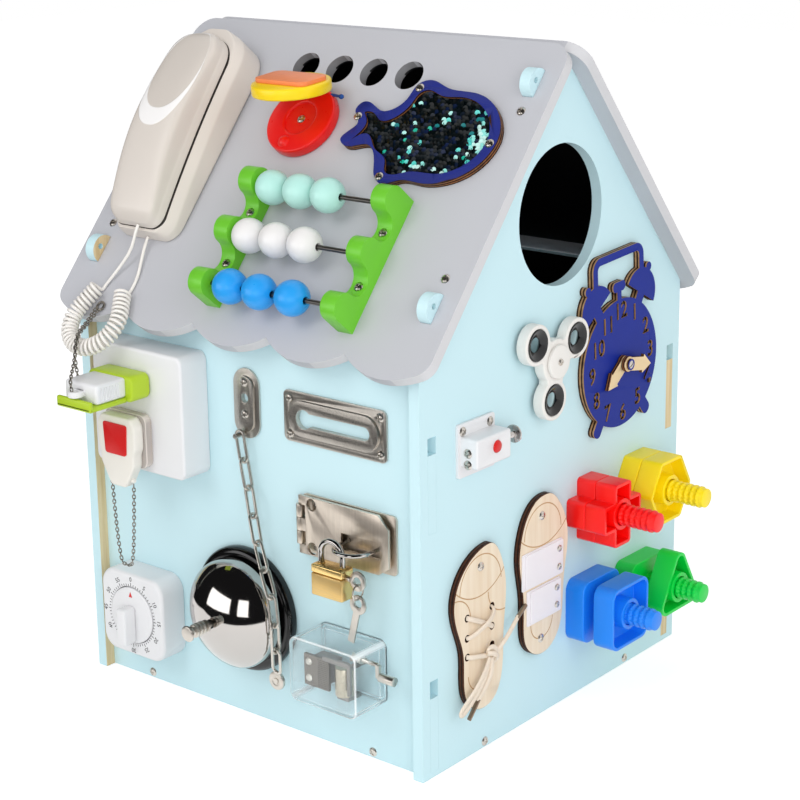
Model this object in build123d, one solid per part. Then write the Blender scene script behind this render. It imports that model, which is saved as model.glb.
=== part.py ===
from build123d import *
import math
import os

os.makedirs("parts", exist_ok=True)

# House body: panels of painted plywood
HOUSE_W = 304.0
HOUSE_D = 300.0
EAVE_Z = 274.0
PITCH = 50.0
PANEL = 8.0
RECESS = 8.0
FIT = 0.1
FRONT_TOP_GAP = 0.5
FLOOR_Z = 0.0
WINDOW_R = 47.0
WINDOW_Z = 346.0
SLOT_TOPS = (228.7, 67.0)
TENON_TOPS = (217.5, 55.0)
TENON_FOOTS = (166.0, 4.0)

# Roof panels
SIDE_OVERHANG = 13.0
EAVE_OVERHANG = 13.142
ROOF_W = HOUSE_W + 2 * SIDE_OVERHANG
ROOF_S = HOUSE_D / 2 / math.cos(math.radians(PITCH)) + EAVE_OVERHANG
SCALLOPS = 5
SCALLOP_DEEP = 11.5
RIDGE_CORNER_R = 16.0
EAVE_CORNER_R = 12.0
ROOF_HOLE_R = 11.0
ROOF_HOLE_S = 33.5
ROOF_HOLE_PITCH = 30.5
ROOF_HOLE_X = 2.1
ROOF_HOLES = 4
LUG_FROM_EAVE = 51.5
LUG_S = (31.0, ROOF_S - LUG_FROM_EAVE)
LUG_R = 10.0
LUG_HOLE_R = 2.0
LUG_HOLE_H = 4.0
LUG_FIT = 0.3
SCREW_FROM_LUG = 21.0
ROOF_SCREW_S = (LUG_S[0] + SCREW_FROM_LUG, LUG_S[1] - SCREW_FROM_LUG)

# Wood screws
HEAD_R = 3.2
HEAD_TOP_R = 1.8
HEAD_H = 1.5
SHANK_R = 1.4
SHANK_DEEP = 6.0

# Running gap between bodies, and running fit of a shaft in its hole
GAP = 0.4
RUN_FIT = 0.08

HALF_W = HOUSE_W / 2
HALF_D = HOUSE_D / 2
SIN = math.sin(math.radians(PITCH))
COS = math.cos(math.radians(PITCH))
TAN = math.tan(math.radians(PITCH))
APEX_Z = EAVE_Z + HALF_D * TAN
FACE_Y = HALF_D - RECESS
WALL_MID_X = HALF_W - PANEL / 2

FRONT = Plane(origin=(0, -FACE_Y, 0), x_dir=(1, 0, 0), z_dir=(0, -1, 0))
BACK = Plane(origin=(0, FACE_Y, 0), x_dir=(-1, 0, 0), z_dir=(0, 1, 0))
RIGHT = Plane(origin=(HALF_W, 0, 0), x_dir=(0, 1, 0), z_dir=(1, 0, 0))
LEFT = Plane(origin=(-HALF_W, 0, 0), x_dir=(0, -1, 0), z_dir=(-1, 0, 0))
ROOF_RISE = (0, -SIN * PANEL, APEX_Z + COS * PANEL)
ROOF = Plane(origin=ROOF_RISE, x_dir=(1, 0, 0), z_dir=(0, -SIN, COS))
ROOF_RISE_BACK = (0, SIN * PANEL, APEX_Z + COS * PANEL)
ROOF_BACK = Plane(origin=ROOF_RISE_BACK, x_dir=(-1, 0, 0), z_dir=(0, SIN, COS))

BASE = (Align.CENTER, Align.CENTER, Align.MIN)


def disc(radius, height, u=0.0, v=0.0, w=0.0):
    return Pos(u, v, w) * Cylinder(radius, height, align=BASE)


def ring(outer, inner, height, u=0.0, v=0.0, w=0.0):
    return Pos(u, v, w) * (Cylinder(outer, height, align=BASE) - Cylinder(inner, height, align=BASE))


def slab(wide, tall, corner, height, u=0.0, v=0.0, w=0.0):
    return Pos(u, v, w) * extrude(RectangleRounded(wide, tall, corner), amount=height)


def block(wide, tall, height, u=0.0, v=0.0, w=0.0):
    return Pos(u, v, w) * Box(wide, tall, height, align=BASE)


def rod_u(radius, u0, u1, v, w):
    return Pos(u0, v, w) * (Rot(0, 90, 0) * Cylinder(radius, u1 - u0, align=BASE))


def soften(shape, size):
    return fillet(shape.faces().sort_by(Axis.Z)[-1].edges(), size)


def tube(points, bends, radius):
    path = FilletPolyline(*points, radius=bends)
    start = Plane(origin=path @ 0, z_dir=path % 0)
    return sweep(start * Circle(radius), path=path)


def cylinder_between(a, b, radius):
    line = Line(a, b)
    return sweep(Plane(origin=line @ 0, z_dir=line % 0) * Circle(radius), path=line)


screws = []
drill = {"front": [], "right": [], "roof": []}
PLANES = {"front": FRONT, "right": RIGHT, "roof": ROOF}


def screw(side, u, v, seat):
    head = Pos(u, v, seat) * Cone(HEAD_R, HEAD_TOP_R, HEAD_H, align=BASE)
    shank = disc(SHANK_R, seat + SHANK_DEEP, u, v, -SHANK_DEEP)
    screws.append(PLANES[side].location * (head + shank))
    hole = disc(SHANK_R + FIT, seat + SHANK_DEEP + FIT, u, v, -SHANK_DEEP - FIT)
    drill[side].append(hole)
    return hole


nodes = {}


def keep(name, plane, shape):
    solids = shape if isinstance(shape, list) else [shape]
    placed = [plane.location * s for s in solids]
    nodes[name] = placed[0] if len(placed) == 1 else Compound(children=placed)


# Gable walls with lugs for the roof, slots for the wall tenons
def gable(window):
    outline = Polygon(
        (-HALF_D, 0), (HALF_D, 0), (HALF_D, EAVE_Z), (0, APEX_Z), (-HALF_D, EAVE_Z), align=None
    )
    for side in (-1, 1):
        for s in LUG_S:
            y = side * (SIN * PANEL + COS * s)
            z = APEX_Z + COS * PANEL - SIN * s
            lug = Circle(LUG_R) + Pos(0, -PANEL / 2) * Rectangle(2 * LUG_R, PANEL)
            lug -= Pos(0, -PANEL - LUG_R) * Rectangle(4 * LUG_R, 2 * LUG_R)
            lug -= Pos(0, LUG_HOLE_H) * Circle(LUG_HOLE_R)
            outline += Pos(y, z) * (Rot(0, 0, -side * PITCH) * lug)
        for top, foot in zip(SLOT_TOPS, TENON_FOOTS):
            mid = side * (FACE_Y - PANEL / 2)
            outline -= Pos(mid, (top + foot) / 2) * Rectangle(PANEL + 2 * FIT, top - foot + 2 * FIT)
    if window:
        outline -= Pos(0, WINDOW_Z) * Circle(WINDOW_R)
    return extrude(outline, amount=-PANEL)


right_wall = gable(True)
left_wall = gable(False)

# Front and back walls with tenons, and the floor between them
FRONT_TOP = APEX_Z - FACE_Y * TAN - FRONT_TOP_GAP
wall = Pos(0, FRONT_TOP / 2) * Rectangle(HOUSE_W - 2 * PANEL, FRONT_TOP)
for top, foot in zip(TENON_TOPS, TENON_FOOTS):
    wall += Pos(0, (top + foot) / 2) * Rectangle(HOUSE_W, top - foot)
front_wall = extrude(wall, amount=-PANEL)
back_wall = extrude(wall, amount=-PANEL)
FLOOR_D = 2 * (FACE_Y - PANEL)
floor_panel = block(HOUSE_W - 2 * PANEL, FLOOR_D, PANEL, 0, 0, FLOOR_Z)
FLOOR_SCREW_X = HALF_W - 48.5
FLOOR_SCREW_Y = HALF_D - 65.5
for sign in (-1, 1):
    screw("front", sign * FLOOR_SCREW_X, FLOOR_Z + PANEL / 2, 0)
    screw("right", sign * FLOOR_SCREW_Y, FLOOR_Z + PANEL / 2, 0)


# Roof panels with a scalloped eave, slots for the lugs and four holes
def roof_panel(holes):
    half = ROOF_W / 2
    step = ROOF_W / SCALLOPS
    cusp = ROOF_S - SCALLOP_DEEP
    edges = [Line((-half, -cusp), (-half, 0)), Line((-half, 0), (half, 0)), Line((half, 0), (half, -cusp))]
    for i in range(SCALLOPS):
        x = half - i * step
        edges.append(ThreePointArc((x, -cusp), (x - step / 2, -ROOF_S), (x - step, -cusp)))
    face = make_face(edges)
    ridge = [v for v in face.vertices() if v.Y > -1]
    face = fillet(ridge, RIDGE_CORNER_R)
    ends = [v for v in face.vertices() if abs(abs(v.X) - half) < 1e-6 and v.Y < -cusp + 1]
    face = fillet(ends, EAVE_CORNER_R)
    for sign in (-1, 1):
        for s in LUG_S:
            slot = Rectangle(PANEL + 2 * LUG_FIT, 2 * (LUG_R + LUG_FIT))
            face -= Pos(sign * WALL_MID_X, -s) * slot
    if holes:
        for i in range(ROOF_HOLES):
            x = ROOF_HOLE_X + (i - (ROOF_HOLES - 1) / 2) * ROOF_HOLE_PITCH
            face -= Pos(x, -ROOF_HOLE_S) * Circle(ROOF_HOLE_R)
    return extrude(face, amount=-PANEL)


front_roof = roof_panel(True)
back_roof = roof_panel(False)
for sign in (-1, 1):
    for s in ROOF_SCREW_S:
        screw("roof", sign * WALL_MID_X, -s, 0)

# Toy telephone: wedge cradle and handset on the roof
PHONE_INSET = 43.0
PHONE_X = PHONE_INSET - HALF_W
CRADLE_W = 58.0
CRADLE_S0 = 27.0
CRADLE_S1 = 182.0
CRADLE_H0 = 28.9
CRADLE_H1 = 13.0
CRADLE_CROWN = 3.6
HANDSET_W = 48.0
HANDSET_S0 = 36.0
HANDSET_S1 = 180.0
EAR_H = 18.6
GRIP_H = 22.7
MOUTH_H = 11.6


def cradle_top(s):
    share = (s - CRADLE_S0) / (CRADLE_S1 - CRADLE_S0)
    return CRADLE_H0 + (CRADLE_H1 - CRADLE_H0) * share + 4 * CRADLE_CROWN * share * (1 - share)


def crowned(s0, s1, lift):
    mid = (s0 + s1) / 2
    pull = 2 * cradle_top(mid) - (cradle_top(s0) + cradle_top(s1)) / 2
    return Bezier((-s0, cradle_top(s0) + lift), (-mid, pull + lift), (-s1, cradle_top(s1) + lift))


cradle_rim = crowned(CRADLE_S0, CRADLE_S1, 0)
cradle_side = make_face(
    [
        cradle_rim,
        Line(cradle_rim @ 1, (-CRADLE_S1, 0)),
        Line((-CRADLE_S1, 0), (-CRADLE_S0, 0)),
        Line((-CRADLE_S0, 0), cradle_rim @ 0),
    ]
)
ACROSS = Plane(origin=(0, 0, 0), x_dir=(0, 1, 0), z_dir=(1, 0, 0))


def across(face, wide, u):
    return Pos(u - wide / 2, 0, 0) * (ACROSS.location * extrude(face, amount=wide))


phone_cradle = across(cradle_side, CRADLE_W, PHONE_X)
CRADLE_TOP_R = 22.0
CRADLE_LOW_R = 12.0
HANDSET_TOP_R = 20.0
HANDSET_LOW_R = 10.0


def round_ends(shape, top_r, low_r):
    low_edges = shape.edges().filter_by(Axis.Z).sort_by(Axis.Y)[:2]
    shape = fillet(low_edges, low_r)
    top_edges = shape.edges().filter_by(Axis.Z).sort_by(Axis.Y)[-2:]
    return fillet(top_edges, top_r)


phone_cradle = round_ends(phone_cradle, CRADLE_TOP_R, CRADLE_LOW_R)
keep("phone_cradle", ROOF, phone_cradle)
EAR_S = HANDSET_S0 + 34.0
GRIP_S = HANDSET_S0 + 76.0
EAR_DROP = 6.2
handset_top = Spline(
    (-HANDSET_S0, cradle_top(HANDSET_S0) + EAR_H - EAR_DROP),
    (-EAR_S, cradle_top(EAR_S) + EAR_H),
    (-GRIP_S, cradle_top(GRIP_S) + GRIP_H),
    (-HANDSET_S1, cradle_top(HANDSET_S1) + MOUTH_H),
)
handset_low = crowned(HANDSET_S0, HANDSET_S1, GAP)
handset_side = make_face(
    [
        handset_top,
        Line(handset_top @ 1, handset_low @ 1),
        handset_low,
        Line(handset_low @ 0, handset_top @ 0),
    ]
)
phone_handset = across(handset_side, HANDSET_W, PHONE_X)
phone_handset = round_ends(phone_handset, HANDSET_TOP_R, HANDSET_LOW_R)
keep("phone_handset", ROOF, phone_handset)

# Curly cord of the telephone: two leads and one wound loop past the eave
WIRE_R = 1.1
CURL_R = 5.0
CURL_PITCH = 3.3
LOOP_R = 21.0
LOOP_X = PHONE_X - 3.0
LOOP_S = ROOF_S + 3.5
LOOP_HALF = 12.5
LOOP_END_S = LOOP_S - 24.0
CORD_H = CURL_R + WIRE_R + GAP
LEAD_H = CORD_H - CURL_R
LEAD_OUT_X = PHONE_X + 5.5
LEAD_SWING = CURL_R + 1.5
HANDSET_LEAD_H = 18.0
CRADLE_LEAD_H = 5.0


def axis_of_loop(t):
    reach = math.hypot(LOOP_HALF, LOOP_S - LOOP_END_S)
    leg = math.sqrt(reach**2 - LOOP_R**2)
    away = math.atan2(LOOP_HALF, LOOP_S - LOOP_END_S) + math.acos(LOOP_R / reach)
    sweep_angle = 2 * math.pi - 2 * away
    bend = LOOP_R * sweep_angle
    if t < 0:
        return 2 * leg + bend
    turn0 = math.pi / 2 + away
    if t <= leg:
        d = (-math.sin(turn0), math.cos(turn0))
        end = (LOOP_X + LOOP_R * math.cos(turn0), LOOP_R * math.sin(turn0))
        p = (end[0] + d[0] * (t - leg), end[1] + d[1] * (t - leg))
    elif t <= leg + bend:
        a = turn0 + (t - leg) / LOOP_R
        d = (-math.sin(a), math.cos(a))
        p = (LOOP_X + LOOP_R * math.cos(a), LOOP_R * math.sin(a))
    else:
        a = turn0 + sweep_angle
        d = (-math.sin(a), math.cos(a))
        over = t - leg - bend
        p = (LOOP_X + LOOP_R * math.cos(a) + d[0] * over, LOOP_R * math.sin(a) + d[1] * over)
    return Vector(p[0], p[1] - LOOP_S, CORD_H), Vector(d[0], d[1], 0)


LOOP_LENGTH = axis_of_loop(-1)
CURLS = round(LOOP_LENGTH / CURL_PITCH)
UP = Vector(0, 0, 1)


def curl_point(k, steps):
    t = LOOP_LENGTH * k / (CURLS * steps)
    centre, along = axis_of_loop(min(max(t, 0), LOOP_LENGTH))
    side = along.cross(UP)
    turn = 2 * math.pi * k / steps - math.pi / 2
    return centre + side * (CURL_R * math.cos(turn)) + UP * (CURL_R * math.sin(turn))


def curl_tangent(k, steps):
    small = 0.01
    return (curl_point(k + small, steps) - curl_point(k - small, steps)).normalized()


def biarc(p0, t0, p1, t1):
    v = p1 - p0
    t = t0 + t1
    a = 2 * (1 - t0.dot(t1))
    b = v.dot(t)
    c = v.dot(v)
    d = c / (2 * b) if abs(a) < 1e-9 else (-b + math.sqrt(b * b + a * c)) / a
    q0 = p0 + t0 * d
    q1 = p1 - t1 * d
    mid = (q0 + q1) * 0.5
    return mid, (q1 - q0).normalized()


STEPS = 4
cord_nodes = []
lead_in = Vector(LEAD_OUT_X, -HANDSET_S1 - GAP, HANDSET_LEAD_H)
DOWN = Vector(0, -1, 0)
cord_nodes.append((lead_in, DOWN))
cord_nodes.append((lead_in + DOWN * (3 * WIRE_R), DOWN))
first = curl_point(0, STEPS)
c0, a0 = axis_of_loop(0)
lead_turn0 = first - a0 * LEAD_SWING - curl_tangent(0, STEPS) * LEAD_SWING
cord_nodes.append((lead_turn0, a0))
for k in range(CURLS * STEPS + 1):
    cord_nodes.append((curl_point(k, STEPS), curl_tangent(k, STEPS)))
last = curl_point(CURLS * STEPS, STEPS)
c1, a1 = axis_of_loop(LOOP_LENGTH)
lead_turn1 = last + a1 * LEAD_SWING + curl_tangent(CURLS * STEPS, STEPS) * LEAD_SWING
cord_nodes.append((lead_turn1, a1))
lead_out = Vector(LEAD_OUT_X, -CRADLE_S1 - GAP, CRADLE_LEAD_H)
cord_nodes.append((lead_out - Vector(0, 1, 0) * (3 * WIRE_R), Vector(0, 1, 0)))
cord_nodes.append((lead_out, Vector(0, 1, 0)))

cord_edges = []
cord_points = []
for (p0, t0), (p1, t1) in zip(cord_nodes, cord_nodes[1:]):
    if (p1 - p0).normalized().dot(t0) > 0.999999 and t0.dot(t1) > 0.999999:
        cord_edges.append(Line(p0, p1))
        continue
    mid, heading = biarc(p0, t0, p1, t1)
    cord_edges.append(TangentArc(p0, mid, tangent=t0))
    cord_edges.append(TangentArc(mid, p1, tangent=heading))
for edge in cord_edges:
    cord_points += [edge @ (j / 3) for j in range(3)]
radii = [e.radius for e in cord_edges if e.geom_type == GeomType.CIRCLE]
print("curly cord: curls", CURLS, "length", round(sum(e.length for e in cord_edges), 1))
print("curly cord: least bend radius", round(min(radii), 2))
clear = 1e9
for i in range(len(cord_points)):
    for j in range(i + 12, len(cord_points)):
        clear = min(clear, (cord_points[i] - cord_points[j]).length)
print("curly cord: least gap to itself", round(clear - 2 * WIRE_R, 2))
cord_path = Wire(cord_edges)
cord_start = Plane(origin=lead_in, z_dir=DOWN)
phone_cord = sweep(cord_start * Circle(WIRE_R), path=cord_path)
keep("phone_cord", ROOF, phone_cord)

# Castanet: lower disc screwed to the roof, upper disc held open by elastic
CAST_X = -19.0
CAST_S = 78.5
CAST_R = 27.0
CAST_H = 8.0
CAST_OPEN = 44.0
LID_SHIFT = 2.6
CAST_RING_R = 12.6
NUB_R = 4.6
NUB_PROUD = 3.0
NUB_AT = (-3.9, -19.3)
CAST_RING_DEEP = 2.0
PLAQUE_W = 46.0
PLAQUE_H = 3.0
ELASTIC_R = 1.5
ELASTIC_X = 8.0
castanet_lower = disc(CAST_R, CAST_H, CAST_X, -CAST_S)
castanet_lower -= disc(CAST_RING_R, CAST_RING_DEEP, CAST_X, -CAST_S, CAST_H - CAST_RING_DEEP)
castanet_lower -= screw("roof", CAST_X, -CAST_S, CAST_H - CAST_RING_DEEP)
nub = Pos(CAST_X + NUB_AT[0], NUB_AT[1] - CAST_S, CAST_H + NUB_PROUD - NUB_R) * Sphere(NUB_R)
castanet_lower += nub
elastic = []
for sign in (-1, 1):
    x = CAST_X + sign * ELASTIC_X
    edge = CAST_S - math.sqrt(CAST_R**2 - ELASTIC_X**2)
    elastic.append(disc(ELASTIC_R, CAST_H - 2 * ELASTIC_R, x, -edge + ELASTIC_R + FIT, ELASTIC_R))
keep("castanet_lower", ROOF, [castanet_lower] + elastic)
PLAQUE_CORNER = 6.0
upper = disc(CAST_R, CAST_H, 0, -CAST_R)
plaque = slab(PLAQUE_W, CAST_R, PLAQUE_CORNER, PLAQUE_H, 0, -CAST_R, CAST_H)
HINGE_H = CAST_H + GAP
HINGE_S = CAST_S - CAST_R
place_upper = Pos(CAST_X + LID_SHIFT, -HINGE_S, HINGE_H) * Rot(-CAST_OPEN, 0, 0)
keep("castanet_upper", ROOF, [place_upper * upper, place_upper * plaque])

# Whale frame of cut plywood round a recessed panel of sequins
WHALE_H = 5.0
SEQUIN_H = 1.6
WHALE = [
    (22, 91), (31, 94), (45, 91), (57, 103), (63, 114), (71, 118), (83, 114), (100, 114), (118, 111),
    (133, 102), (142, 89), (144, 74), (139, 62), (128, 51), (112, 45), (88, 43), (71, 38.5), (63, 43),
    (60, 54), (44, 65), (35, 61), (25, 60), (22, 66), (29, 76),
]
WHALE_IN = [
    (31, 88), (43, 84), (52, 93), (65, 101), (69, 109), (77, 110.5), (86, 107.5), (110, 106), (127, 98),
    (135, 87), (136, 74), (130, 62), (119, 53), (103, 49), (85, 49), (74, 46), (68, 49), (65, 58),
    (46, 72), (36, 66.5), (31, 67), (36, 78),
]


def blob(points):
    return make_face(Spline(*[(x, -s) for x, s in points], periodic=True))


whale_frame = extrude(blob(WHALE), amount=WHALE_H) - extrude(blob(WHALE_IN), amount=WHALE_H)
WHALE_SCREWS = ((66, 45), (26.5, 71), (139.5, 80), (66.5, 113))
for x, s in WHALE_SCREWS:
    whale_frame -= screw("roof", x, -s, WHALE_H)
keep("whale_frame", ROOF, whale_frame)
keep("sequin_panel", ROOF, extrude(blob(WHALE_IN), amount=SEQUIN_H))

# Abacus: two brackets, three rods, three rows of beads
BRACKET_T = 12.0
BRACKET_X = (-22.0, 92.5)
ROD_S = (137.5, 174.5, 212.0)
ROD_H = 17.0
ROD_R = 1.6
LOBE_R = 9.5
LOBE_LEAN = (3.0, 2.0, 0.0)
LOBE_S = [s - lean for s, lean in zip(ROD_S, LOBE_LEAN)]
VALLEYS = [((s0 + s1) / 2, (s1 - s0) / 2 - LOBE_R) for s0, s1 in zip(LOBE_S, LOBE_S[1:])]
BRACKET_S0 = LOBE_S[0] - LOBE_R
BRACKET_S1 = LOBE_S[-1] + LOBE_R
BEAD_R = 11.8
BEAD_BORE_R = 2.2
BEAD_X = ((-3.6, 20.4, 44.4), (-3.6, 20.4, 44.9), (0.9, 26.7, 55.0))
BEAD_NAMES = ("mint_beads", "white_beads", "blue_beads")
lobed = [Line((-BRACKET_S1, 0), (-BRACKET_S0, 0)), Line((-BRACKET_S0, 0), (-BRACKET_S0, ROD_H))]
for i, s in enumerate(LOBE_S):
    lobed.append(ThreePointArc((LOBE_R - s, ROD_H), (-s, ROD_H + LOBE_R), (-s - LOBE_R, ROD_H)))
    for dip, r in VALLEYS[i : i + 1]:
        lobed.append(ThreePointArc((r - dip, ROD_H), (-dip, ROD_H - r), (-dip - r, ROD_H)))
lobed.append(Line((-BRACKET_S1, ROD_H), (-BRACKET_S1, 0)))
bracket_side = make_face(lobed)
rails = []
for x in BRACKET_X:
    bracket = across(bracket_side, BRACKET_T, x)
    for dip, r in VALLEYS:
        bracket -= disc(HEAD_R + FIT, ROD_H, x, -dip, ROD_H - r)
        bracket -= screw("roof", x, -dip, ROD_H - r)
    rails.append(bracket)
inner0 = BRACKET_X[0] + BRACKET_T / 2
inner1 = BRACKET_X[1] - BRACKET_T / 2
for s in ROD_S:
    rails.append(rod_u(ROD_R, inner0, inner1, -s, ROD_H))
keep("abacus_frame", ROOF, rails)
for name, s, row in zip(BEAD_NAMES, ROD_S, BEAD_X):
    beads = []
    for x in row:
        bead = Sphere(BEAD_R) & Box(2 * BEAD_R - 2 * FIT, 3 * BEAD_R, 3 * BEAD_R)
        bead -= rod_u(BEAD_BORE_R, -2 * BEAD_R, 2 * BEAD_R, 0, 0)
        beads.append(Pos(x, -s, ROD_H) * bead)
    keep(name, ROOF, beads)

# Socket box and two toy plugs on the front wall
SOCKET_AT = 0.52303
SOCKET_X = -SOCKET_AT * HALF_W
SOCKET_Z = 211.5
SOCKET = 86.0
SOCKET_D = 25.0
SOCKET_WALL = 3.0
SOCKET_R = 6.0
PIN_HALF = 9.0
PIN_T = 1.6
PIN_W = 6.0
PIN_L = 15.0
GREEN_X = SOCKET_X - 7.0
GREEN_Z = SOCKET_Z + 20.0
RED_X = SOCKET_X - 6.0
RED_Z = SOCKET_Z - 19.5
SOCKET_EASE = 2.0
socket_box = soften(slab(SOCKET, SOCKET, SOCKET_R, SOCKET_D), SOCKET_EASE)
inside = SOCKET - 2 * SOCKET_WALL
socket_box -= slab(inside, inside, SOCKET_WALL, SOCKET_D - SOCKET_WALL)
socket_box = Pos(SOCKET_X, SOCKET_Z, 0) * socket_box
for x, z in ((GREEN_X, GREEN_Z), (RED_X, RED_Z)):
    for sign in (-1, 1):
        socket_box -= block(PIN_T + 2 * GAP, PIN_W + 2 * GAP, 2 * SOCKET_D, x + sign * PIN_HALF, z)
keep("socket_box", FRONT, socket_box)
PLUG_W0 = SOCKET_D + GAP


def pins(x, z):
    return [block(PIN_T, PIN_W, PIN_L, x + s * PIN_HALF, z, PLUG_W0 - PIN_L) for s in (-1, 1)]


FLANGE_W = 43.0
FLANGE_T = 18.0
FLANGE_L = 17.0
FLANGE_R = 5.0
GRIP_W = 31.0
GRIP_T = 14.0
GRIP_L = 26.0
GRIP_R = 4.0
TRAY_T = 3.5
TRAY_LIP = 1.0
TAB_L = 9.0
TAB_W = 11.0
TAB_T = 4.0
TAB_HOLE_R = 3.0
flange = slab(FLANGE_W, FLANGE_T, FLANGE_R, FLANGE_L, GREEN_X, GREEN_Z, PLUG_W0)
TRAY_Z = GREEN_Z - FLANGE_T / 2 + TRAY_T / 2
tray = block(GRIP_W + 2 * TRAY_LIP, TRAY_T, GRIP_L, GREEN_X, TRAY_Z, PLUG_W0 + FLANGE_L)
GRIP_Z = TRAY_Z + TRAY_T / 2 + GRIP_T / 2
grip = slab(GRIP_W, GRIP_T, GRIP_R, GRIP_L, GREEN_X, GRIP_Z, PLUG_W0 + FLANGE_L)
TAB_END = PLUG_W0 + FLANGE_L + GRIP_L
tab = block(TAB_W, TAB_T, TAB_L, GREEN_X, GRIP_Z, TAB_END)
TAB_HOLE_W = TAB_END + TAB_L / 2
tab_hole = Pos(GREEN_X, GRIP_Z, TAB_HOLE_W) * (Rot(90, 0, 0) * Cylinder(TAB_HOLE_R, 2 * TAB_T))
green_plug = [flange, tray, grip, tab - tab_hole] + pins(GREEN_X, GREEN_Z)
PLUG_BACK_T = 6.0
PLUG_BODY_T = 9.0
PLUG_W = 36.0
PLUG_FOOT = 14.0
PLUG_UP = 18.0
PLUG_DOWN = 16.0
PLUG_TIP = 32.0
PLUG_BACK_R = 6.0
PLUG_CORNER = 3.0
red_back = slab(PLUG_W + 4, PLUG_W + 2, PLUG_BACK_R, PLUG_BACK_T, RED_X, RED_Z, PLUG_W0)
red_face = make_face(
    Polyline(
        (-PLUG_W / 2, PLUG_UP),
        (PLUG_W / 2, PLUG_UP),
        (PLUG_W / 2, -PLUG_DOWN),
        (PLUG_FOOT / 2, -PLUG_TIP),
        (-PLUG_FOOT / 2, -PLUG_TIP),
        (-PLUG_W / 2, -PLUG_DOWN),
        close=True,
    )
)
red_body = Pos(RED_X, RED_Z, PLUG_W0 + PLUG_BACK_T) * extrude(fillet(red_face.vertices(), PLUG_CORNER), amount=PLUG_BODY_T)
PANEL_SQ = 22.0
PANEL_T = 1.0
PANEL_UP = 2.0
RED_TOP = PLUG_W0 + PLUG_BACK_T + PLUG_BODY_T
red_panel = slab(PANEL_SQ, PANEL_SQ, PLUG_CORNER, PANEL_T, RED_X, RED_Z + PANEL_UP, RED_TOP)
LOOP_BAR_R = 1.5
LOOP_BAR_HALF = 12.0
LOOP_BAR_Z = RED_Z - PLUG_TIP + 5.0
LOOP_BAR_W = RED_TOP - PLUG_BODY_T / 2
bar = rod_u(LOOP_BAR_R, RED_X - LOOP_BAR_HALF, RED_X + LOOP_BAR_HALF, LOOP_BAR_Z, LOOP_BAR_W)
keep("red_plug", FRONT, [red_back, red_body + bar, red_panel] + pins(RED_X, RED_Z))

# Thin chains of the plugs
CHAIN_R = 1.3
EYE_X = PHONE_X - 10.0
EYE_S = ROOF_S - 9.0
EYE_R = 3.0
EYE_WIRE_R = 0.9
EDGE_S = ROOF_S + 3.0
CHAIN_H = CHAIN_R + GAP
STRAND = 2 * CHAIN_R + GAP


def on_roof(x, s, h):
    return ROOF.from_local_coords(Vector(x, -s, h))


def on_front(x, z, w):
    return FRONT.from_local_coords(Vector(x, z, w))


CHAIN_BEND = 4.0
eye = ROOF.location * (
    Pos(EYE_X, -EYE_S, EYE_R + EYE_WIRE_R) * (Rot(0, 90, 0) * Torus(EYE_R, EYE_WIRE_R))
)
CHAIN_S = EYE_S + EYE_R + EYE_WIRE_R + CHAIN_R
TAB_TOP = GRIP_Z + TAB_T / 2 + CHAIN_R + GAP
GRIP_SIDE = GREEN_X - GRIP_W / 2 - CHAIN_R - GAP
GRIP_END = PLUG_W0 + FLANGE_L + GRIP_L
SPLIT = 0.25
hang_a = Vector(EYE_X, TAB_TOP + 10.0, SOCKET_D + 6.0)
beside_a = Vector(GRIP_SIDE - 3.0, TAB_TOP + 5.0, GRIP_END - 10.0)
hang_b = Vector(EYE_X - STRAND, TAB_TOP + 8.0, SOCKET_D + 5.0)
beside_b = Vector(GRIP_SIDE, GRIP_Z + 3.0, PLUG_W0 + FLANGE_L + 12.0)


def split(hang, beside, past):
    step = beside - hang
    return on_front(*(hang + step * SPLIT + step.normalized() * past))


strand_a = [
    on_roof(EYE_X, CHAIN_S, CHAIN_H),
    on_roof(EYE_X, EDGE_S, CHAIN_H),
    on_front(*hang_a),
    split(hang_a, beside_a, 0),
]
strand_b = [
    on_roof(EYE_X - STRAND, CHAIN_S, CHAIN_H),
    on_roof(EYE_X - STRAND, EDGE_S, CHAIN_H),
    on_front(*hang_b),
    split(hang_b, beside_b, 0),
]
upper_a = tube(strand_a, CHAIN_BEND, CHAIN_R)
upper_b = tube(strand_b, CHAIN_BEND, CHAIN_R)
nodes["upper_chain"] = Compound(children=[eye, upper_a, upper_b])
plug_strand = [
    split(hang_a, beside_a, GAP),
    on_front(*beside_a),
    on_front(GRIP_SIDE + 3.0, TAB_TOP + 3.0, GRIP_END + 5.5),
    on_front(GREEN_X, TAB_TOP, TAB_HOLE_W),
]
plug_chain_a = tube(plug_strand, CHAIN_BEND, CHAIN_R)
plug_chain_b = cylinder_between(split(hang_b, beside_b, GAP), on_front(*beside_b), CHAIN_R)
green_plug = [FRONT.location * piece for piece in green_plug]
nodes["green_plug"] = Compound(children=green_plug + [plug_chain_a, plug_chain_b])
LOOP_LOW = 104.0
LOOP_TIGHT = 7.8
bar_l = RED_X - LOOP_BAR_HALF + CHAIN_R
bar_r = RED_X + LOOP_BAR_HALF - CHAIN_R
chain_top = LOOP_BAR_Z - LOOP_BAR_R - CHAIN_R - FIT
lower_pts = [
    on_front(bar_l, chain_top, LOOP_BAR_W),
    on_front(RED_X - LOOP_TIGHT, LOOP_LOW, LOOP_BAR_W),
    on_front(RED_X + LOOP_TIGHT, LOOP_LOW, LOOP_BAR_W),
    on_front(bar_r, chain_top, LOOP_BAR_W),
]
nodes["lower_chain"] = tube(lower_pts, LOOP_TIGHT - FIT, CHAIN_R)

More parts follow.
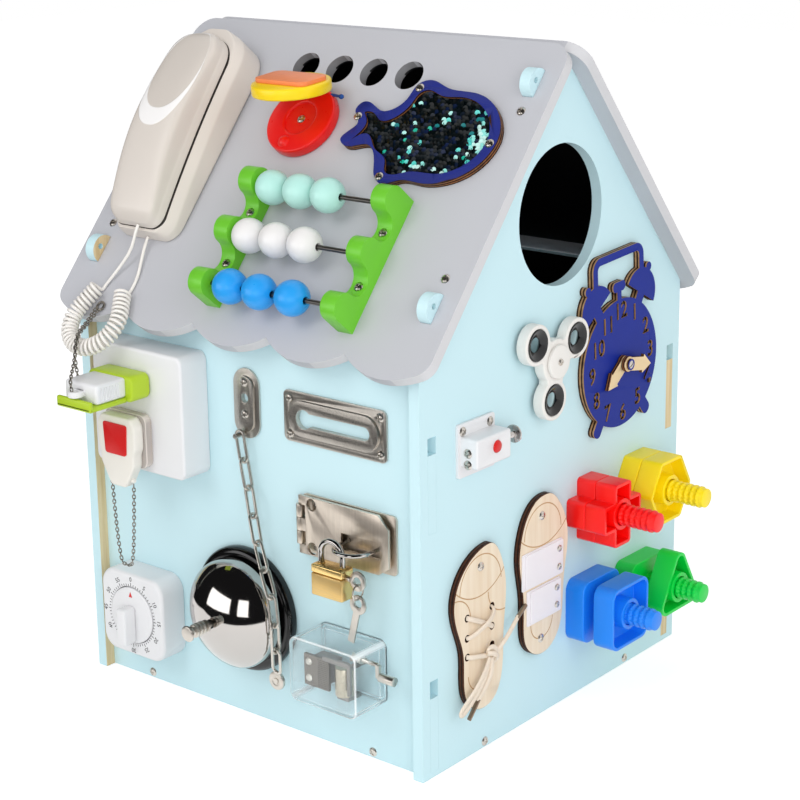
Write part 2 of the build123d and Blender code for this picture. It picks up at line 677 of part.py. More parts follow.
# Door chain: oval anchor plate, slotted keeper plate, links and end button
ANCHOR_X = 0.5
ANCHOR_Z = 225.0
ANCHOR_W = 23.0
ANCHOR_L = 48.0
PLATE_T = 1.6
DISH_T = 1.8
DISH_INSET = 5.0
ANCHOR_HOLE_R = 3.2
ANCHOR_UP = 4.0
anchor = extrude(Rot(0, 0, 90) * SlotOverall(ANCHOR_L, ANCHOR_W), amount=PLATE_T)
anchor += Pos(0, 0, PLATE_T) * extrude(Rot(0, 0, 90) * SlotOverall(ANCHOR_L - 2 * DISH_INSET, ANCHOR_W - 2 * DISH_INSET + 2), amount=DISH_T)
anchor -= disc(ANCHOR_HOLE_R, 3 * PLATE_T, 0, ANCHOR_UP)
anchor = Pos(ANCHOR_X, ANCHOR_Z, 0) * anchor
ANCHOR_SCREW = 11.0
anchor -= screw("front", ANCHOR_X, ANCHOR_Z + ANCHOR_UP + ANCHOR_SCREW, PLATE_T + DISH_T)
anchor -= screw("front", ANCHOR_X, ANCHOR_Z + ANCHOR_UP - ANCHOR_SCREW, PLATE_T + DISH_T)
RIVET_SIDE = 3.0
RIVET_UP = 2.6
RIVET_X = ANCHOR_X - RIVET_SIDE
RIVET_Z = ANCHOR_Z - ANCHOR_L / 2 + RIVET_UP
RIVET_R = 1.6
RIVET_W = 9.6
RIVET_CAP_R = 1.9
RIVET_CAP_T = 1.0
anchor += disc(RIVET_R, RIVET_W - PLATE_T, RIVET_X, RIVET_Z, PLATE_T)
anchor += disc(RIVET_CAP_R, RIVET_CAP_T, RIVET_X, RIVET_Z, RIVET_W)
KEEPER_AT = 0.50855
KEEPER_X = KEEPER_AT * HALF_W
KEEPER_Z = 223.8
KEEPER_W = 86.6
KEEPER_L = 34.5
RIM_W = 76.0
RIM_L = 24.0
RIM_T = 2.2
KEY_W = 62.0
KEY_L = 9.0
KEY_R = 6.5
KEEPER_R = 4.0
KEEPER_SCREW_IN = 5.0
keeper = slab(KEEPER_W, KEEPER_L, KEEPER_R, PLATE_T)
keeper += Pos(0, 0, PLATE_T) * extrude(SlotOverall(RIM_W, RIM_L), amount=RIM_T)
keeper -= extrude(SlotOverall(KEY_W, KEY_L), amount=3 * RIM_T)
keeper -= disc(KEY_R, 3 * RIM_T, -KEY_W / 2 + KEY_R, 0)
keeper = Pos(KEEPER_X, KEEPER_Z, 0) * keeper
for su in (-1, 1):
    for sv in (-1, 1):
        u = KEEPER_X + su * (KEEPER_W / 2 - KEEPER_SCREW_IN)
        v = KEEPER_Z + sv * (KEEPER_L / 2 - KEEPER_SCREW_IN)
        keeper -= screw("front", u, v, PLATE_T)
keep("chain_plates", FRONT, [anchor, keeper])
LINK_L = 23.6
LINK_W = 9.2
LINK_R = 1.1
LINK_SLACK = 0.5
LINK_PITCH = LINK_L - 4 * LINK_R - LINK_SLACK
LINK_W0 = 6.0
HANG_Z = RIVET_Z + RIVET_R + LINK_R + GAP - LINK_L / 2 + LINK_R + LINK_PITCH / 2
CHAIN_PATH = (
    (RIVET_X, HANG_Z, LINK_W0),
    (3.0, 180.0, 7.0),
    (8.5, 161.0, 8.5),
    (14.5, 142.5, 12.0),
    (25.0, 126.0, 18.0),
    (37.5, 109.0, 23.0),
    (43.0, 89.0, 26.0),
    (42.5, 68.0, 25.0),
    (37.0, 48.0, 19.0),
)


def link():
    straight = LINK_L - LINK_W
    half = (LINK_W - 2 * LINK_R) / 2
    path = Wire(
        [
            Line((-half, -straight / 2, 0), (-half, straight / 2, 0)),
            ThreePointArc((-half, straight / 2, 0), (0, straight / 2 + half, 0), (half, straight / 2, 0)),
            Line((half, straight / 2, 0), (half, -straight / 2, 0)),
            ThreePointArc((half, -straight / 2, 0), (0, -straight / 2 - half, 0), (-half, -straight / 2, 0)),
        ]
    )
    at = Plane(origin=(-half, -straight / 2, 0), z_dir=(0, 1, 0))
    return sweep(at * Circle(LINK_R), path=path)


def chain_at(reach):
    points = [Vector(*p) for p in CHAIN_PATH]
    for a, b in zip(points, points[1:]):
        run = (b - a).length
        if reach <= run or b == points[-1]:
            return a + (b - a) * (reach / run)
        reach -= run


LINKS = 9
links = []
for i in range(LINKS):
    upper_end = chain_at(i * LINK_PITCH)
    lower_end = chain_at((i + 1) * LINK_PITCH)
    along = (upper_end - lower_end).normalized()
    side = along.cross(Vector(0, 0, 1)).normalized()
    facing = side if i % 2 else side.cross(along)
    frame = Plane(origin=(upper_end + lower_end) * 0.5, x_dir=along.cross(facing), z_dir=facing)
    links.append(frame.location * link())
BUTTON_R = 6.5
BUTTON_T = 3.0
drop = lower_end - along * (LINK_L / 2 + BUTTON_R + FIT - LINK_PITCH / 2)
button = Plane(origin=drop, z_dir=(0, 0, 1)).location * Cylinder(BUTTON_R, BUTTON_T)
links.append(button)
keep("door_chain", FRONT, links)

# Hasp: base leaf with a staple, hinged slotted strap
HASP_Z = 153.0
HASP_AT = 0.30263
HASP_LONG = 78.5
HASP_X0 = HASP_AT * HALF_W
HASP_X1 = HASP_X0 + HASP_LONG
HASP_L = 40.0
LEAF_T = 1.6
STRAP_T = 2.0
KNUCKLE_R = 2.8
PIN_R = 1.2
KNUCKLE_X = HASP_X0 + KNUCKLE_R
KNUCKLE_W = LEAF_T + KNUCKLE_R
STRAP_W0 = LEAF_T + 2.6
STAPLE_X = HASP_X0 + 55.0
STAPLE_R = 13.0
STAPLE_WIRE_R = 1.6
STAPLE_LEG = 12.0
STAPLE_Z = HASP_Z - 4.0
LEAF_PAST = 3.0
LEAF_X1 = HASP_X1 + LEAF_PAST
leaf = slab(LEAF_X1 - KNUCKLE_X, HASP_L, LEAF_PAST, LEAF_T, (LEAF_X1 + KNUCKLE_X) / 2, HASP_Z)
staple_path = Wire(
    [
        Line((-STAPLE_R, 0, LEAF_T), (-STAPLE_R, 0, STAPLE_LEG)),
        ThreePointArc((-STAPLE_R, 0, STAPLE_LEG), (0, 0, STAPLE_LEG + STAPLE_R), (STAPLE_R, 0, STAPLE_LEG)),
        Line((STAPLE_R, 0, STAPLE_LEG), (STAPLE_R, 0, LEAF_T)),
    ]
)
staple = sweep(Plane(origin=(-STAPLE_R, 0, LEAF_T), z_dir=(0, 0, 1)) * Circle(STAPLE_WIRE_R), path=staple_path)
staple = Pos(STAPLE_X, STAPLE_Z, 0) * staple
KNUCKLE_L = 9.0


def knuckle(z0, z1):
    place = Pos(KNUCKLE_X, z0, KNUCKLE_W) * Rot(-90, 0, 0)
    return place * Cylinder(KNUCKLE_R, z1 - z0, align=BASE), place * Cylinder(PIN_R + RUN_FIT, z1 - z0, align=BASE)


TOP_KNUCKLE = HASP_Z + KNUCKLE_L * 1.5
LOW_KNUCKLE = HASP_Z - KNUCKLE_L * 1.5
base_solids = leaf
for z0, z1 in ((HASP_Z + KNUCKLE_L / 2 + GAP, TOP_KNUCKLE), (LOW_KNUCKLE, HASP_Z - KNUCKLE_L / 2 - GAP)):
    barrel, bore = knuckle(z0, z1)
    base_solids += barrel
clear_knuckle = block(4 * KNUCKLE_R, KNUCKLE_L + 2 * GAP, 4 * KNUCKLE_R, KNUCKLE_X, HASP_Z, -FIT)
base_solids -= clear_knuckle
pin_place = Pos(KNUCKLE_X, LOW_KNUCKLE, KNUCKLE_W) * Rot(-90, 0, 0)
base_solids += pin_place * Cylinder(PIN_R, TOP_KNUCKLE - LOW_KNUCKLE, align=BASE)
HASP_SCREW_X = HASP_X0 + 14.0
HASP_SCREW_IN = 5.0
HASP_SCREWS = ((HASP_SCREW_X, 1), (HASP_SCREW_X, -1))
for x, sign in HASP_SCREWS:
    base_solids -= screw("front", x, HASP_Z + sign * (HASP_L / 2 - HASP_SCREW_IN), LEAF_T)
keep("hasp_base", FRONT, [base_solids, staple])
CORNER_CUT = 8.5
STRAP_SLOT_W = 2 * (STAPLE_R + STAPLE_WIRE_R + 1.6)
STRAP_SLOT_L = 2 * STAPLE_WIRE_R + 8.0
strap_face = make_face(
    Polyline(
        (KNUCKLE_X, HASP_Z - HASP_L / 2),
        (HASP_X1 - CORNER_CUT, HASP_Z - HASP_L / 2),
        (HASP_X1, HASP_Z - HASP_L / 2 + CORNER_CUT * 0.7),
        (HASP_X1, HASP_Z + HASP_L / 2 - CORNER_CUT),
        (HASP_X1 - CORNER_CUT, HASP_Z + HASP_L / 2),
        (KNUCKLE_X, HASP_Z + HASP_L / 2),
        close=True,
    )
)
strap_face -= Pos(STAPLE_X, STAPLE_Z) * Rectangle(STRAP_SLOT_W, STRAP_SLOT_L)
strap = Pos(0, 0, STRAP_W0) * extrude(strap_face, amount=STRAP_T)
barrel, bore = knuckle(HASP_Z - KNUCKLE_L / 2, HASP_Z + KNUCKLE_L / 2)
KNUCKLE_ROOM = KNUCKLE_L + GAP
for sign in (-1, 1):
    strap -= block(4 * KNUCKLE_R, KNUCKLE_ROOM, 8 * KNUCKLE_R, KNUCKLE_X, HASP_Z + sign * KNUCKLE_L, -KNUCKLE_R)
strap = strap + barrel - bore
HEAD_ROOM = HEAD_R + 1.0
for x, sign in HASP_SCREWS:
    strap -= disc(HEAD_ROOM, 8 * STRAP_T, x, HASP_Z + sign * (HASP_L / 2 - HASP_SCREW_IN))
keep("hasp_strap", FRONT, strap)

# Padlock on the staple, its key and the spare key on a ring
LOCK_X = STAPLE_X - 12.0
LOCK_W = 20.0
SHACKLE_R = 9.0
SHACKLE_WIRE_R = 2.0
LOCK_BODY_W = 26.0
LOCK_BODY_H = 21.0
LOCK_BODY_T = 12.0
LOCK_CORNER = 2.5
LOCK_EASE = 1.5
KEY_DOWN = 6.0
LOCK_LEG = 7.0
HANG_GAP = 1.2
ARCH_Z = STAPLE_Z + STAPLE_WIRE_R + HANG_GAP - (SHACKLE_R - SHACKLE_WIRE_R)
LOCK_TOP = ARCH_Z - LOCK_LEG
shackle_path = Wire(
    [
        Line((-SHACKLE_R, -LOCK_LEG, 0), (-SHACKLE_R, 0, 0)),
        ThreePointArc((-SHACKLE_R, 0, 0), (0, SHACKLE_R, 0), (SHACKLE_R, 0, 0)),
        Line((SHACKLE_R, 0, 0), (SHACKLE_R, -LOCK_LEG, 0)),
    ]
)
shackle = sweep(
    Plane(origin=(-SHACKLE_R, -LOCK_LEG, 0), z_dir=(0, 1, 0)) * Circle(SHACKLE_WIRE_R), path=shackle_path
)
shackle = Pos(LOCK_X, ARCH_Z, LOCK_W) * shackle
lock_body = soften(slab(LOCK_BODY_W, LOCK_BODY_H, LOCK_CORNER, LOCK_BODY_T), LOCK_EASE)
KEY_SHAFT_R = 2.0
KEY_DEEP = 8.0
KEY_Z = LOCK_TOP - KEY_DOWN
LOCK_SIDE = LOCK_X + LOCK_BODY_W / 2
lock_body = Pos(LOCK_X, LOCK_TOP - LOCK_BODY_H / 2, LOCK_W - LOCK_BODY_T / 2) * lock_body
lock_body -= rod_u(KEY_SHAFT_R + RUN_FIT, LOCK_SIDE - KEY_DEEP - GAP, LOCK_SIDE + 1.0, KEY_Z, LOCK_W)
keep("padlock", FRONT, [lock_body, shackle])
BOW_R = 6.5
BOW_HOLE_R = 3.0
BOW_T = 1.6
KEY_NECK = 3.0
key_shaft = rod_u(KEY_SHAFT_R, LOCK_SIDE - KEY_DEEP, LOCK_SIDE + KEY_NECK, KEY_Z, LOCK_W)
BOW_X = LOCK_SIDE + KEY_NECK + BOW_R - 1.0
bow = Pos(BOW_X, KEY_Z, LOCK_W - BOW_T / 2) * (disc(BOW_R, BOW_T) - disc(BOW_HOLE_R, BOW_T))
keep("padlock_key", FRONT, key_shaft + bow)
SPARE_TILT = -14.0
SPARE_LONG = 22.0
SPARE_TIP_W = 5.0
SPARE_HOLE_UP = 1.2
RING_R = 5.0
RING_WIRE_R = 0.6
spare = disc(BOW_R, BOW_T) - disc(BOW_HOLE_R, BOW_T, 0, SPARE_HOLE_UP)
spare += block(SPARE_TIP_W, SPARE_LONG, BOW_T, 0, -BOW_R - SPARE_LONG / 2 + 1.0)
RING_TOP = KEY_Z - BOW_HOLE_R + RING_WIRE_R + FIT
RING_LOW = RING_TOP - 2 * RING_R
SPARE_Z = RING_LOW + RING_WIRE_R + FIT - BOW_HOLE_R - SPARE_HOLE_UP
spare_at = Pos(BOW_X, SPARE_Z, LOCK_W - BOW_T / 2) * Rot(0, 0, SPARE_TILT)
key_ring = Pos(BOW_X, RING_TOP - RING_R, LOCK_W) * (Rot(0, 90, 0) * Torus(RING_R, RING_WIRE_R))
keep("spare_key", FRONT, [spare_at * spare, key_ring])

# Desk bell: black base, chrome dome, press plunger
BELL_X = -4.5
BELL_Z = 79.5
BELL_BASE_R = 44.0
BELL_BASE_H = 8.0
DOME_R = 38.0
DOME_W0 = 11.0
DOME_TOP = 38.0
DOME_T = 1.2
SKIRT_H = 4.0
POST_R = 2.5
PLUNGER_TRAVEL = 3.0
BASE_EASE = 3.0
bell_base = soften(disc(BELL_BASE_R, BELL_BASE_H, 0, 0, 0), BASE_EASE)
bell_base += disc(POST_R * 1.8, DOME_TOP - DOME_T - GAP - BELL_BASE_H, 0, 0, BELL_BASE_H)
bell_base -= disc(POST_R + RUN_FIT, DOME_TOP, 0, 0, BELL_BASE_H)
bell_base = Pos(BELL_X, BELL_Z, 0) * bell_base
keep("bell_base", FRONT, bell_base)


def dome_profile(inset):
    r = DOME_R - inset
    rise = DOME_TOP - inset - DOME_W0 - SKIRT_H
    side = Line((r, DOME_W0), (r, DOME_W0 + SKIRT_H))
    a = math.radians(50)
    arc = ThreePointArc(
        (r, DOME_W0 + SKIRT_H),
        (r * math.cos(a), DOME_W0 + SKIRT_H + rise * math.sin(a)),
        (0, DOME_W0 + SKIRT_H + rise),
    )
    foot = Line((0, DOME_W0), (r, DOME_W0))
    stem = Line((0, DOME_W0 + SKIRT_H + rise), (0, DOME_W0))
    return make_face([foot, side, arc, stem])


UPRIGHT = Plane(origin=(0, 0, 0), x_dir=(1, 0, 0), z_dir=(0, -1, 0))
dome = revolve(UPRIGHT * dome_profile(0), Axis.Z) - revolve(UPRIGHT * dome_profile(DOME_T), Axis.Z)
dome -= disc(POST_R + GAP, DOME_TOP, 0, 0, DOME_W0)
keep("bell_dome", FRONT, Pos(BELL_X, BELL_Z, 0) * dome)
PLUNGER_TIP = 60.0
CAP_R = 5.5
CAP_EDGE = 2.0
COLLAR_R = 4.2
BARREL_R = 4.6
BARREL_IN = 3.5
plunger = disc(POST_R, PLUNGER_TIP - BELL_BASE_H - PLUNGER_TRAVEL - GAP, 0, 0, BELL_BASE_H + PLUNGER_TRAVEL + GAP)
CAP_W = DOME_TOP + PLUNGER_TRAVEL + GAP
CAP_END = PLUNGER_TIP - CAP_EDGE
plunger += disc(COLLAR_R, CAP_EDGE, 0, 0, CAP_W)
plunger += disc(BARREL_R, CAP_END - CAP_W - 2 * BARREL_IN, 0, 0, CAP_W + BARREL_IN)
plunger += disc(CAP_R, CAP_EDGE, 0, 0, CAP_END)
keep("bell_plunger", FRONT, Pos(BELL_X, BELL_Z, 0) * plunger)

# Kitchen timer: square case and turning dial with a grip bar
TIMER_AT = 0.64803
TIMER_X = -TIMER_AT * HALF_W
TIMER_Z = 56.5
TIMER = 61.0
TIMER_D = 22.0
TIMER_R = 12.0
DIAL_R = 20.5
DIAL_SINK = 5.0
DIAL_PROUD = 0.8
BAR_W = 9.0
BAR_L = 27.0
BAR_DOWN = 6.5
BAR_H = 11.0
TIMER_EASE = 3.0
BAR_EASE = 1.5
timer_case = soften(slab(TIMER, TIMER, TIMER_R, TIMER_D), TIMER_EASE)
timer_case -= disc(DIAL_R + GAP, TIMER_D, 0, 0, TIMER_D - DIAL_SINK)
AXLE_R = 4.0
timer_case += disc(AXLE_R, DIAL_SINK - 1.0, 0, 0, TIMER_D - DIAL_SINK)
keep("timer_case", FRONT, Pos(TIMER_X, TIMER_Z, 0) * timer_case)
timer_dial = disc(DIAL_R, DIAL_SINK - GAP + DIAL_PROUD, 0, 0, TIMER_D - DIAL_SINK + GAP)
grip_bar = soften(slab(BAR_W, BAR_L, TIMER_EASE, BAR_H), BAR_EASE)
timer_dial += Pos(0, -BAR_DOWN, TIMER_D + DIAL_PROUD) * grip_bar
timer_dial -= disc(AXLE_R + RUN_FIT, DIAL_SINK, 0, 0, TIMER_D - DIAL_SINK)
keep("timer_dial", FRONT, Pos(TIMER_X, TIMER_Z, 0) * timer_dial)

# Music box: clear case, movement, pinned drum and crank
MUSIC_X = 88.5
MUSIC_Z = 64.0
MUSIC_W = 57.0
MUSIC_L = 45.0
MUSIC_D = 32.0
MUSIC_T = 2.0
MUSIC_R = 6.0
CRANK_Z = MUSIC_Z + 12.0
CRANK_W = 15.0
CRANK_R = 1.4
DRUM_R = 6.5
DRUM_L = 20.0
DRUM_X = MUSIC_X + 4.0
DRUM_W = 14.0
music_case = slab(MUSIC_W, MUSIC_L, MUSIC_R, MUSIC_D)
music_case = soften(music_case, MUSIC_T * 0.9)
music_case -= slab(MUSIC_W - 2 * MUSIC_T, MUSIC_L - 2 * MUSIC_T, MUSIC_R - MUSIC_T, MUSIC_D - MUSIC_T)
music_case = Pos(MUSIC_X, MUSIC_Z, 0) * music_case
music_case -= rod_u(CRANK_R + RUN_FIT, MUSIC_X, MUSIC_X + MUSIC_W, CRANK_Z, CRANK_W)
keep("music_case", FRONT, music_case)
BED_T = 4.0
BED_W = MUSIC_W - 2 * MUSIC_T - 2.0
BED_L = MUSIC_L - 2 * MUSIC_T - 2.0
COMB_L = 22.0
COMB_T = 2.5
COMB_GAP = 1.5
COMB_LIP = 2.0
COMB_DOWN = 4.0
COMB_W0 = DRUM_W + 4.0
COMB_START = MUSIC_X - BED_W / 2
COMB_END = DRUM_X - DRUM_R - COMB_GAP
COMB_X = (COMB_START + COMB_END) / 2
COMB_W = COMB_END - COMB_START
bed = slab(BED_W, BED_L, MUSIC_R - MUSIC_T, BED_T, MUSIC_X, MUSIC_Z)
comb_z = MUSIC_Z - COMB_DOWN
comb_post = block(COMB_W - 2 * COMB_LIP, COMB_L - 3 * COMB_LIP, COMB_W0 - BED_T, COMB_X, comb_z, BED_T)
comb = block(COMB_W, COMB_L, COMB_T, COMB_X, comb_z, COMB_W0)
DRUM_Z0 = MUSIC_Z - 17.0
FOOT_W = 10.0
FOOT_T = 3.0
foot_post = block(FOOT_W, FOOT_T, DRUM_W + COMB_LIP - BED_T, DRUM_X, DRUM_Z0 - FOOT_T / 2 - GAP, BED_T)
keep("music_movement", FRONT, [bed, comb_post, comb, foot_post])
drum_body = Pos(DRUM_X, DRUM_Z0, DRUM_W) * (Rot(-90, 0, 0) * Cylinder(DRUM_R, DRUM_L, align=BASE))
keep("music_drum", FRONT, drum_body)
CASE_RIGHT = MUSIC_X + MUSIC_W / 2
CRANK_ARM = 8.0
CRANK_OUT = 5.0
KNOB_R = 3.0
KNOB_L = 12.0
CRANK_IN = DRUM_X + DRUM_R + COMB_GAP
WORM_L = 8.0
shaft = rod_u(CRANK_R, CRANK_IN, CASE_RIGHT + CRANK_OUT, CRANK_Z, CRANK_W)
worm = rod_u(CRANK_R * 1.9, CRANK_IN, CRANK_IN + WORM_L, CRANK_Z, CRANK_W)
arm = block(2 * CRANK_R, CRANK_ARM, 2 * CRANK_R, CASE_RIGHT + CRANK_OUT, CRANK_Z - CRANK_ARM / 2, CRANK_W - CRANK_R)
knob = rod_u(
    KNOB_R, CASE_RIGHT + CRANK_OUT + CRANK_R, CASE_RIGHT + CRANK_OUT + CRANK_R + KNOB_L, CRANK_Z - CRANK_ARM, CRANK_W
)
knob_pin = rod_u(
    CRANK_R, CASE_RIGHT + CRANK_OUT - CRANK_R, CASE_RIGHT + CRANK_OUT + 2 * CRANK_R, CRANK_Z - CRANK_ARM, CRANK_W
)
keep("music_crank", FRONT, shaft + worm + arm + knob + knob_pin)

# Alarm clock of cut plywood with two turning hands
CLOCK_Y = 66.0
CLOCK_Z = 232.0
CLOCK_R = 45.5
CLOCK_T = 5.0
CLOCK_PIN_R = 2.2
CLOCK_TILT = 3.5
CLOCK_CAP_T = 1.5
HAND_T = 3.0
HAND_W = 9.5
HAND_HUB_R = 5.5
ARROW_L = 10.5
ARROW_W = 13.5
MINUTE_L = 29.0
HOUR_L = 25.5
MINUTE_AT = -11.0
HOUR_AT = 217.0
HANDLE_W = 62.0
HANDLE_L = 30.0
HANDLE_R = 9.0
HANDLE_BAR = 5.4
HANDLE_UP = 65.0
HANDLE_FOOT = 48.0
BELL_HALF = 18.5
BELL_RISE = 18.0
BELL_NUB_R = 3.2
BELL_LEAN = 32.0
BELL_UP = 51.0
NECK_W = 9.0
NECK_L = 12.0
CLOCK_FOOT_W = 9.0
CLOCK_FOOT_L = 15.0
CLOCK_FOOT_R = 4.0
CLOCK_FOOT_LEAN = 36.0
HAMMER_W = 15.0
HAMMER_L = 7.0
HAMMER_STEM = 5.0
clock = Circle(CLOCK_R)
handle = Pos(0, HANDLE_UP) * RectangleRounded(HANDLE_W, HANDLE_L, HANDLE_R)
handle -= Pos(0, HANDLE_UP) * RectangleRounded(
    HANDLE_W - 2 * HANDLE_BAR, HANDLE_L - 2 * HANDLE_BAR, HANDLE_R - HANDLE_BAR
)
handle -= Pos(0, HANDLE_UP - HANDLE_L / 2) * Rectangle(HANDLE_FOOT, 2 * HANDLE_BAR + FIT)
clock += handle


def bell_cut(sign):
    bell = make_face(
        [
            Line((BELL_HALF, 0), (-BELL_HALF, 0)),
            ThreePointArc((-BELL_HALF, 0), (0, BELL_RISE), (BELL_HALF, 0)),
        ]
    )
    bell += Pos(0, BELL_RISE + BELL_NUB_R / 2) * Circle(BELL_NUB_R)
    bell += Pos(0, -NECK_L / 3) * Rectangle(NECK_W, NECK_L)
    return Rot(0, 0, -sign * BELL_LEAN) * (Pos(0, BELL_UP) * bell)


for sign in (-1, 1):
    clock += bell_cut(sign)
    foot_at = Pos(0, -CLOCK_R - CLOCK_FOOT_L / 5)
    clock += Rot(0, 0, sign * CLOCK_FOOT_LEAN) * (foot_at * RectangleRounded(CLOCK_FOOT_W, CLOCK_FOOT_L, CLOCK_FOOT_R))
hammer = Pos(0, CLOCK_R + HAMMER_L / 2) * Rectangle(HAMMER_STEM, 2 * HAMMER_L)
hammer += Pos(0, CLOCK_R + HAMMER_L * 1.3) * RectangleRounded(HAMMER_W, HAMMER_L, HAMMER_L / 2 - FIT)
clock += hammer
clock_face = extrude(Rot(0, 0, CLOCK_TILT) * clock, amount=CLOCK_T)
HOUR_W0 = CLOCK_T + GAP
MINUTE_W0 = HOUR_W0 + HAND_T + GAP
PIN_TOP = MINUTE_W0 + HAND_T + GAP
clock_face += disc(CLOCK_PIN_R, PIN_TOP)
clock_face += disc(CLOCK_PIN_R * 1.8, CLOCK_CAP_T, 0, 0, PIN_TOP)
keep("clock_face", RIGHT, Pos(CLOCK_Y, CLOCK_Z, 0) * clock_face)


def hand(long, turn, w):
    neck = long - ARROW_L
    shape = make_face(
        Polyline(
            (0, -HAND_W / 2),
            (neck, -HAND_W / 2),
            (neck, -ARROW_W / 2),
            (long, 0),
            (neck, ARROW_W / 2),
            (neck, HAND_W / 2),
            (0, HAND_W / 2),
            close=True,
        )
    )
    shape += Circle(HAND_HUB_R)
    shape -= Circle(CLOCK_PIN_R + RUN_FIT)
    return Pos(CLOCK_Y, CLOCK_Z, w) * (Rot(0, 0, turn) * extrude(shape, amount=HAND_T))


keep("hour_hand", RIGHT, hand(HOUR_L, HOUR_AT, HOUR_W0))
keep("minute_hand", RIGHT, hand(MINUTE_L, MINUTE_AT, MINUTE_W0))

# Finger spinner on a fixed hub
SPIN_Y = -20.0
SPIN_Z = 253.0
SPIN_TURN = 24.5
SPIN_ARM = 26.0
SPIN_LOBE_R = 13.8
SPIN_MID_R = 15.0
SPIN_T = 8.0
SPIN_W0 = 3.0 + GAP
WEIGHT_R = 10.6
WEIGHT_HOLE_R = 5.5
SPIN_AXLE_R = 6.0
SPIN_CAP_R = 11.5
SPIN_CAP_T = 2.5
SPIN_NECK = 17.0
SPIN_CAP_EASE = 1.0
flat = Circle(SPIN_MID_R)
weights = []
for i in range(3):
    lobe = Rot(0, 0, SPIN_TURN + 120 * i)
    flat += lobe * (Pos(SPIN_ARM, 0) * Circle(SPIN_LOBE_R))
    flat += lobe * (Pos(SPIN_ARM / 2, 0) * Rectangle(SPIN_ARM, SPIN_NECK))
for i in range(3):
    lobe = Rot(0, 0, SPIN_TURN + 120 * i)
    flat -= lobe * (Pos(SPIN_ARM, 0) * Circle(WEIGHT_R + FIT))
    weights.append(
        Pos(SPIN_Y, SPIN_Z, 0) * (lobe * ring(WEIGHT_R, WEIGHT_HOLE_R, SPIN_T, SPIN_ARM, 0, SPIN_W0))
    )
flat -= Circle(SPIN_AXLE_R + RUN_FIT)
keep("spinner_body", RIGHT, Pos(SPIN_Y, SPIN_Z, SPIN_W0) * extrude(flat, amount=SPIN_T))
keep("spinner_weights", RIGHT, weights)
spin_hub = disc(SPIN_AXLE_R * 1.4, SPIN_W0 - GAP) + disc(SPIN_AXLE_R, SPIN_W0 + SPIN_T + GAP)
spin_hub += soften(disc(SPIN_CAP_R, SPIN_CAP_T, 0, 0, SPIN_W0 + SPIN_T + GAP), SPIN_CAP_EASE)
keep("spinner_hub", RIGHT, Pos(SPIN_Y, SPIN_Z, 0) * spin_hub)

# Slide latch: plate and case, spring bolt, red push button
LATCH_Y = -95.0
LATCH_Z = 213.0
LATCH_W = 38.5
LATCH_L = 35.5
LATCH_T = 2.0
CASE_L = 19.5
CASE_W = 36.0
CASE_D = 13.4
BOLT_R = 2.5
BOLT_END_R = 6.0
BOLT_END_T = 1.6
BOLT_EASE = 0.5
BOLT_W = 8.0
BOLT_Z = LATCH_Z + 1.0
BOLT_L = 34.0
BOLT_OUT = 13.5
LATCH_TRAVEL = 9.0
PUSH_R = 4.2
PUSH_DEEP = 4.0
PUSH_PROUD = 1.6
PUSH_TRAVEL = 1.0
LATCH_R = 2.0
LATCH_EASE = 1.5
PUSH_EASE = 0.8
latch = slab(LATCH_W, LATCH_L, LATCH_R, LATCH_T, LATCH_Y, LATCH_Z)
case_z = LATCH_Z - 0.2
latch_block = soften(slab(CASE_W, CASE_L, LATCH_R, CASE_D), LATCH_EASE)
latch += Pos(LATCH_Y + 1.0, case_z, LATCH_T) * latch_block
CASE_END = LATCH_Y + 1.0 + CASE_W / 2
bolt_back = CASE_END + BOLT_OUT - BOLT_L - LATCH_TRAVEL - GAP
latch -= rod_u(BOLT_R + RUN_FIT, bolt_back, CASE_END + LATCH_W, BOLT_Z, BOLT_W)
push_y = LATCH_Y + 4.0
push_floor = LATCH_T + CASE_D - PUSH_DEEP
latch -= disc(PUSH_R + RUN_FIT, CASE_D, push_y, BOLT_Z, push_floor)
for su in (-1, 1):
    latch -= screw("right", LATCH_Y + su * (LATCH_W / 2 - 5.0), LATCH_Z + LATCH_L / 2 - 4.5, LATCH_T)
keep("latch_case", RIGHT, latch)
bolt = rod_u(BOLT_R, CASE_END + BOLT_OUT - BOLT_L, CASE_END + BOLT_OUT, BOLT_Z, BOLT_W)
bolt_tip = CASE_END + BOLT_OUT
bolt += rod_u(BOLT_END_R, bolt_tip - BOLT_END_T, bolt_tip, BOLT_Z, BOLT_W)
bolt = fillet(bolt.edges().sort_by(Axis.X)[-1], BOLT_EASE)
keep("latch_bolt", RIGHT, bolt)
push = disc(PUSH_R, PUSH_DEEP - PUSH_TRAVEL - GAP + PUSH_PROUD, 0, 0, push_floor + PUSH_TRAVEL + GAP)
keep("latch_button", RIGHT, Pos(push_y, BOLT_Z, 0) * soften(push, PUSH_EASE))

# Two shoe soles of cut plywood
SOLE_T = 5.0
SOLE_A = [
    (-85.4, 145.2), (-104.8, 139.8), (-118.7, 126.2), (-123.1, 111.9), (-119.9, 95.0), (-114.0, 78.0),
    (-113.3, 60.5), (-110.5, 44.0), (-98.0, 33.4), (-80.2, 36.0), (-71.9, 52.0), (-70.1, 80.3),
    (-67.3, 108.5), (-71.5, 130.0),
]
SOLE_B = [
    (-20.7, 160.9), (-41.6, 152.9), (-50.8, 134.8), (-52.5, 119.0), (-48.5, 97.0), (-47.8, 78.6),
    (-45.7, 60.7), (-35.0, 50.0), (-19.6, 48.8), (-6.9, 59.0), (-2.2, 77.0), (-0.6, 98.2),
    (3.2, 118.5), (0.9, 138.3), (-8.1, 153.2),
]


def outline(points):
    return make_face(Spline(*points, periodic=True))


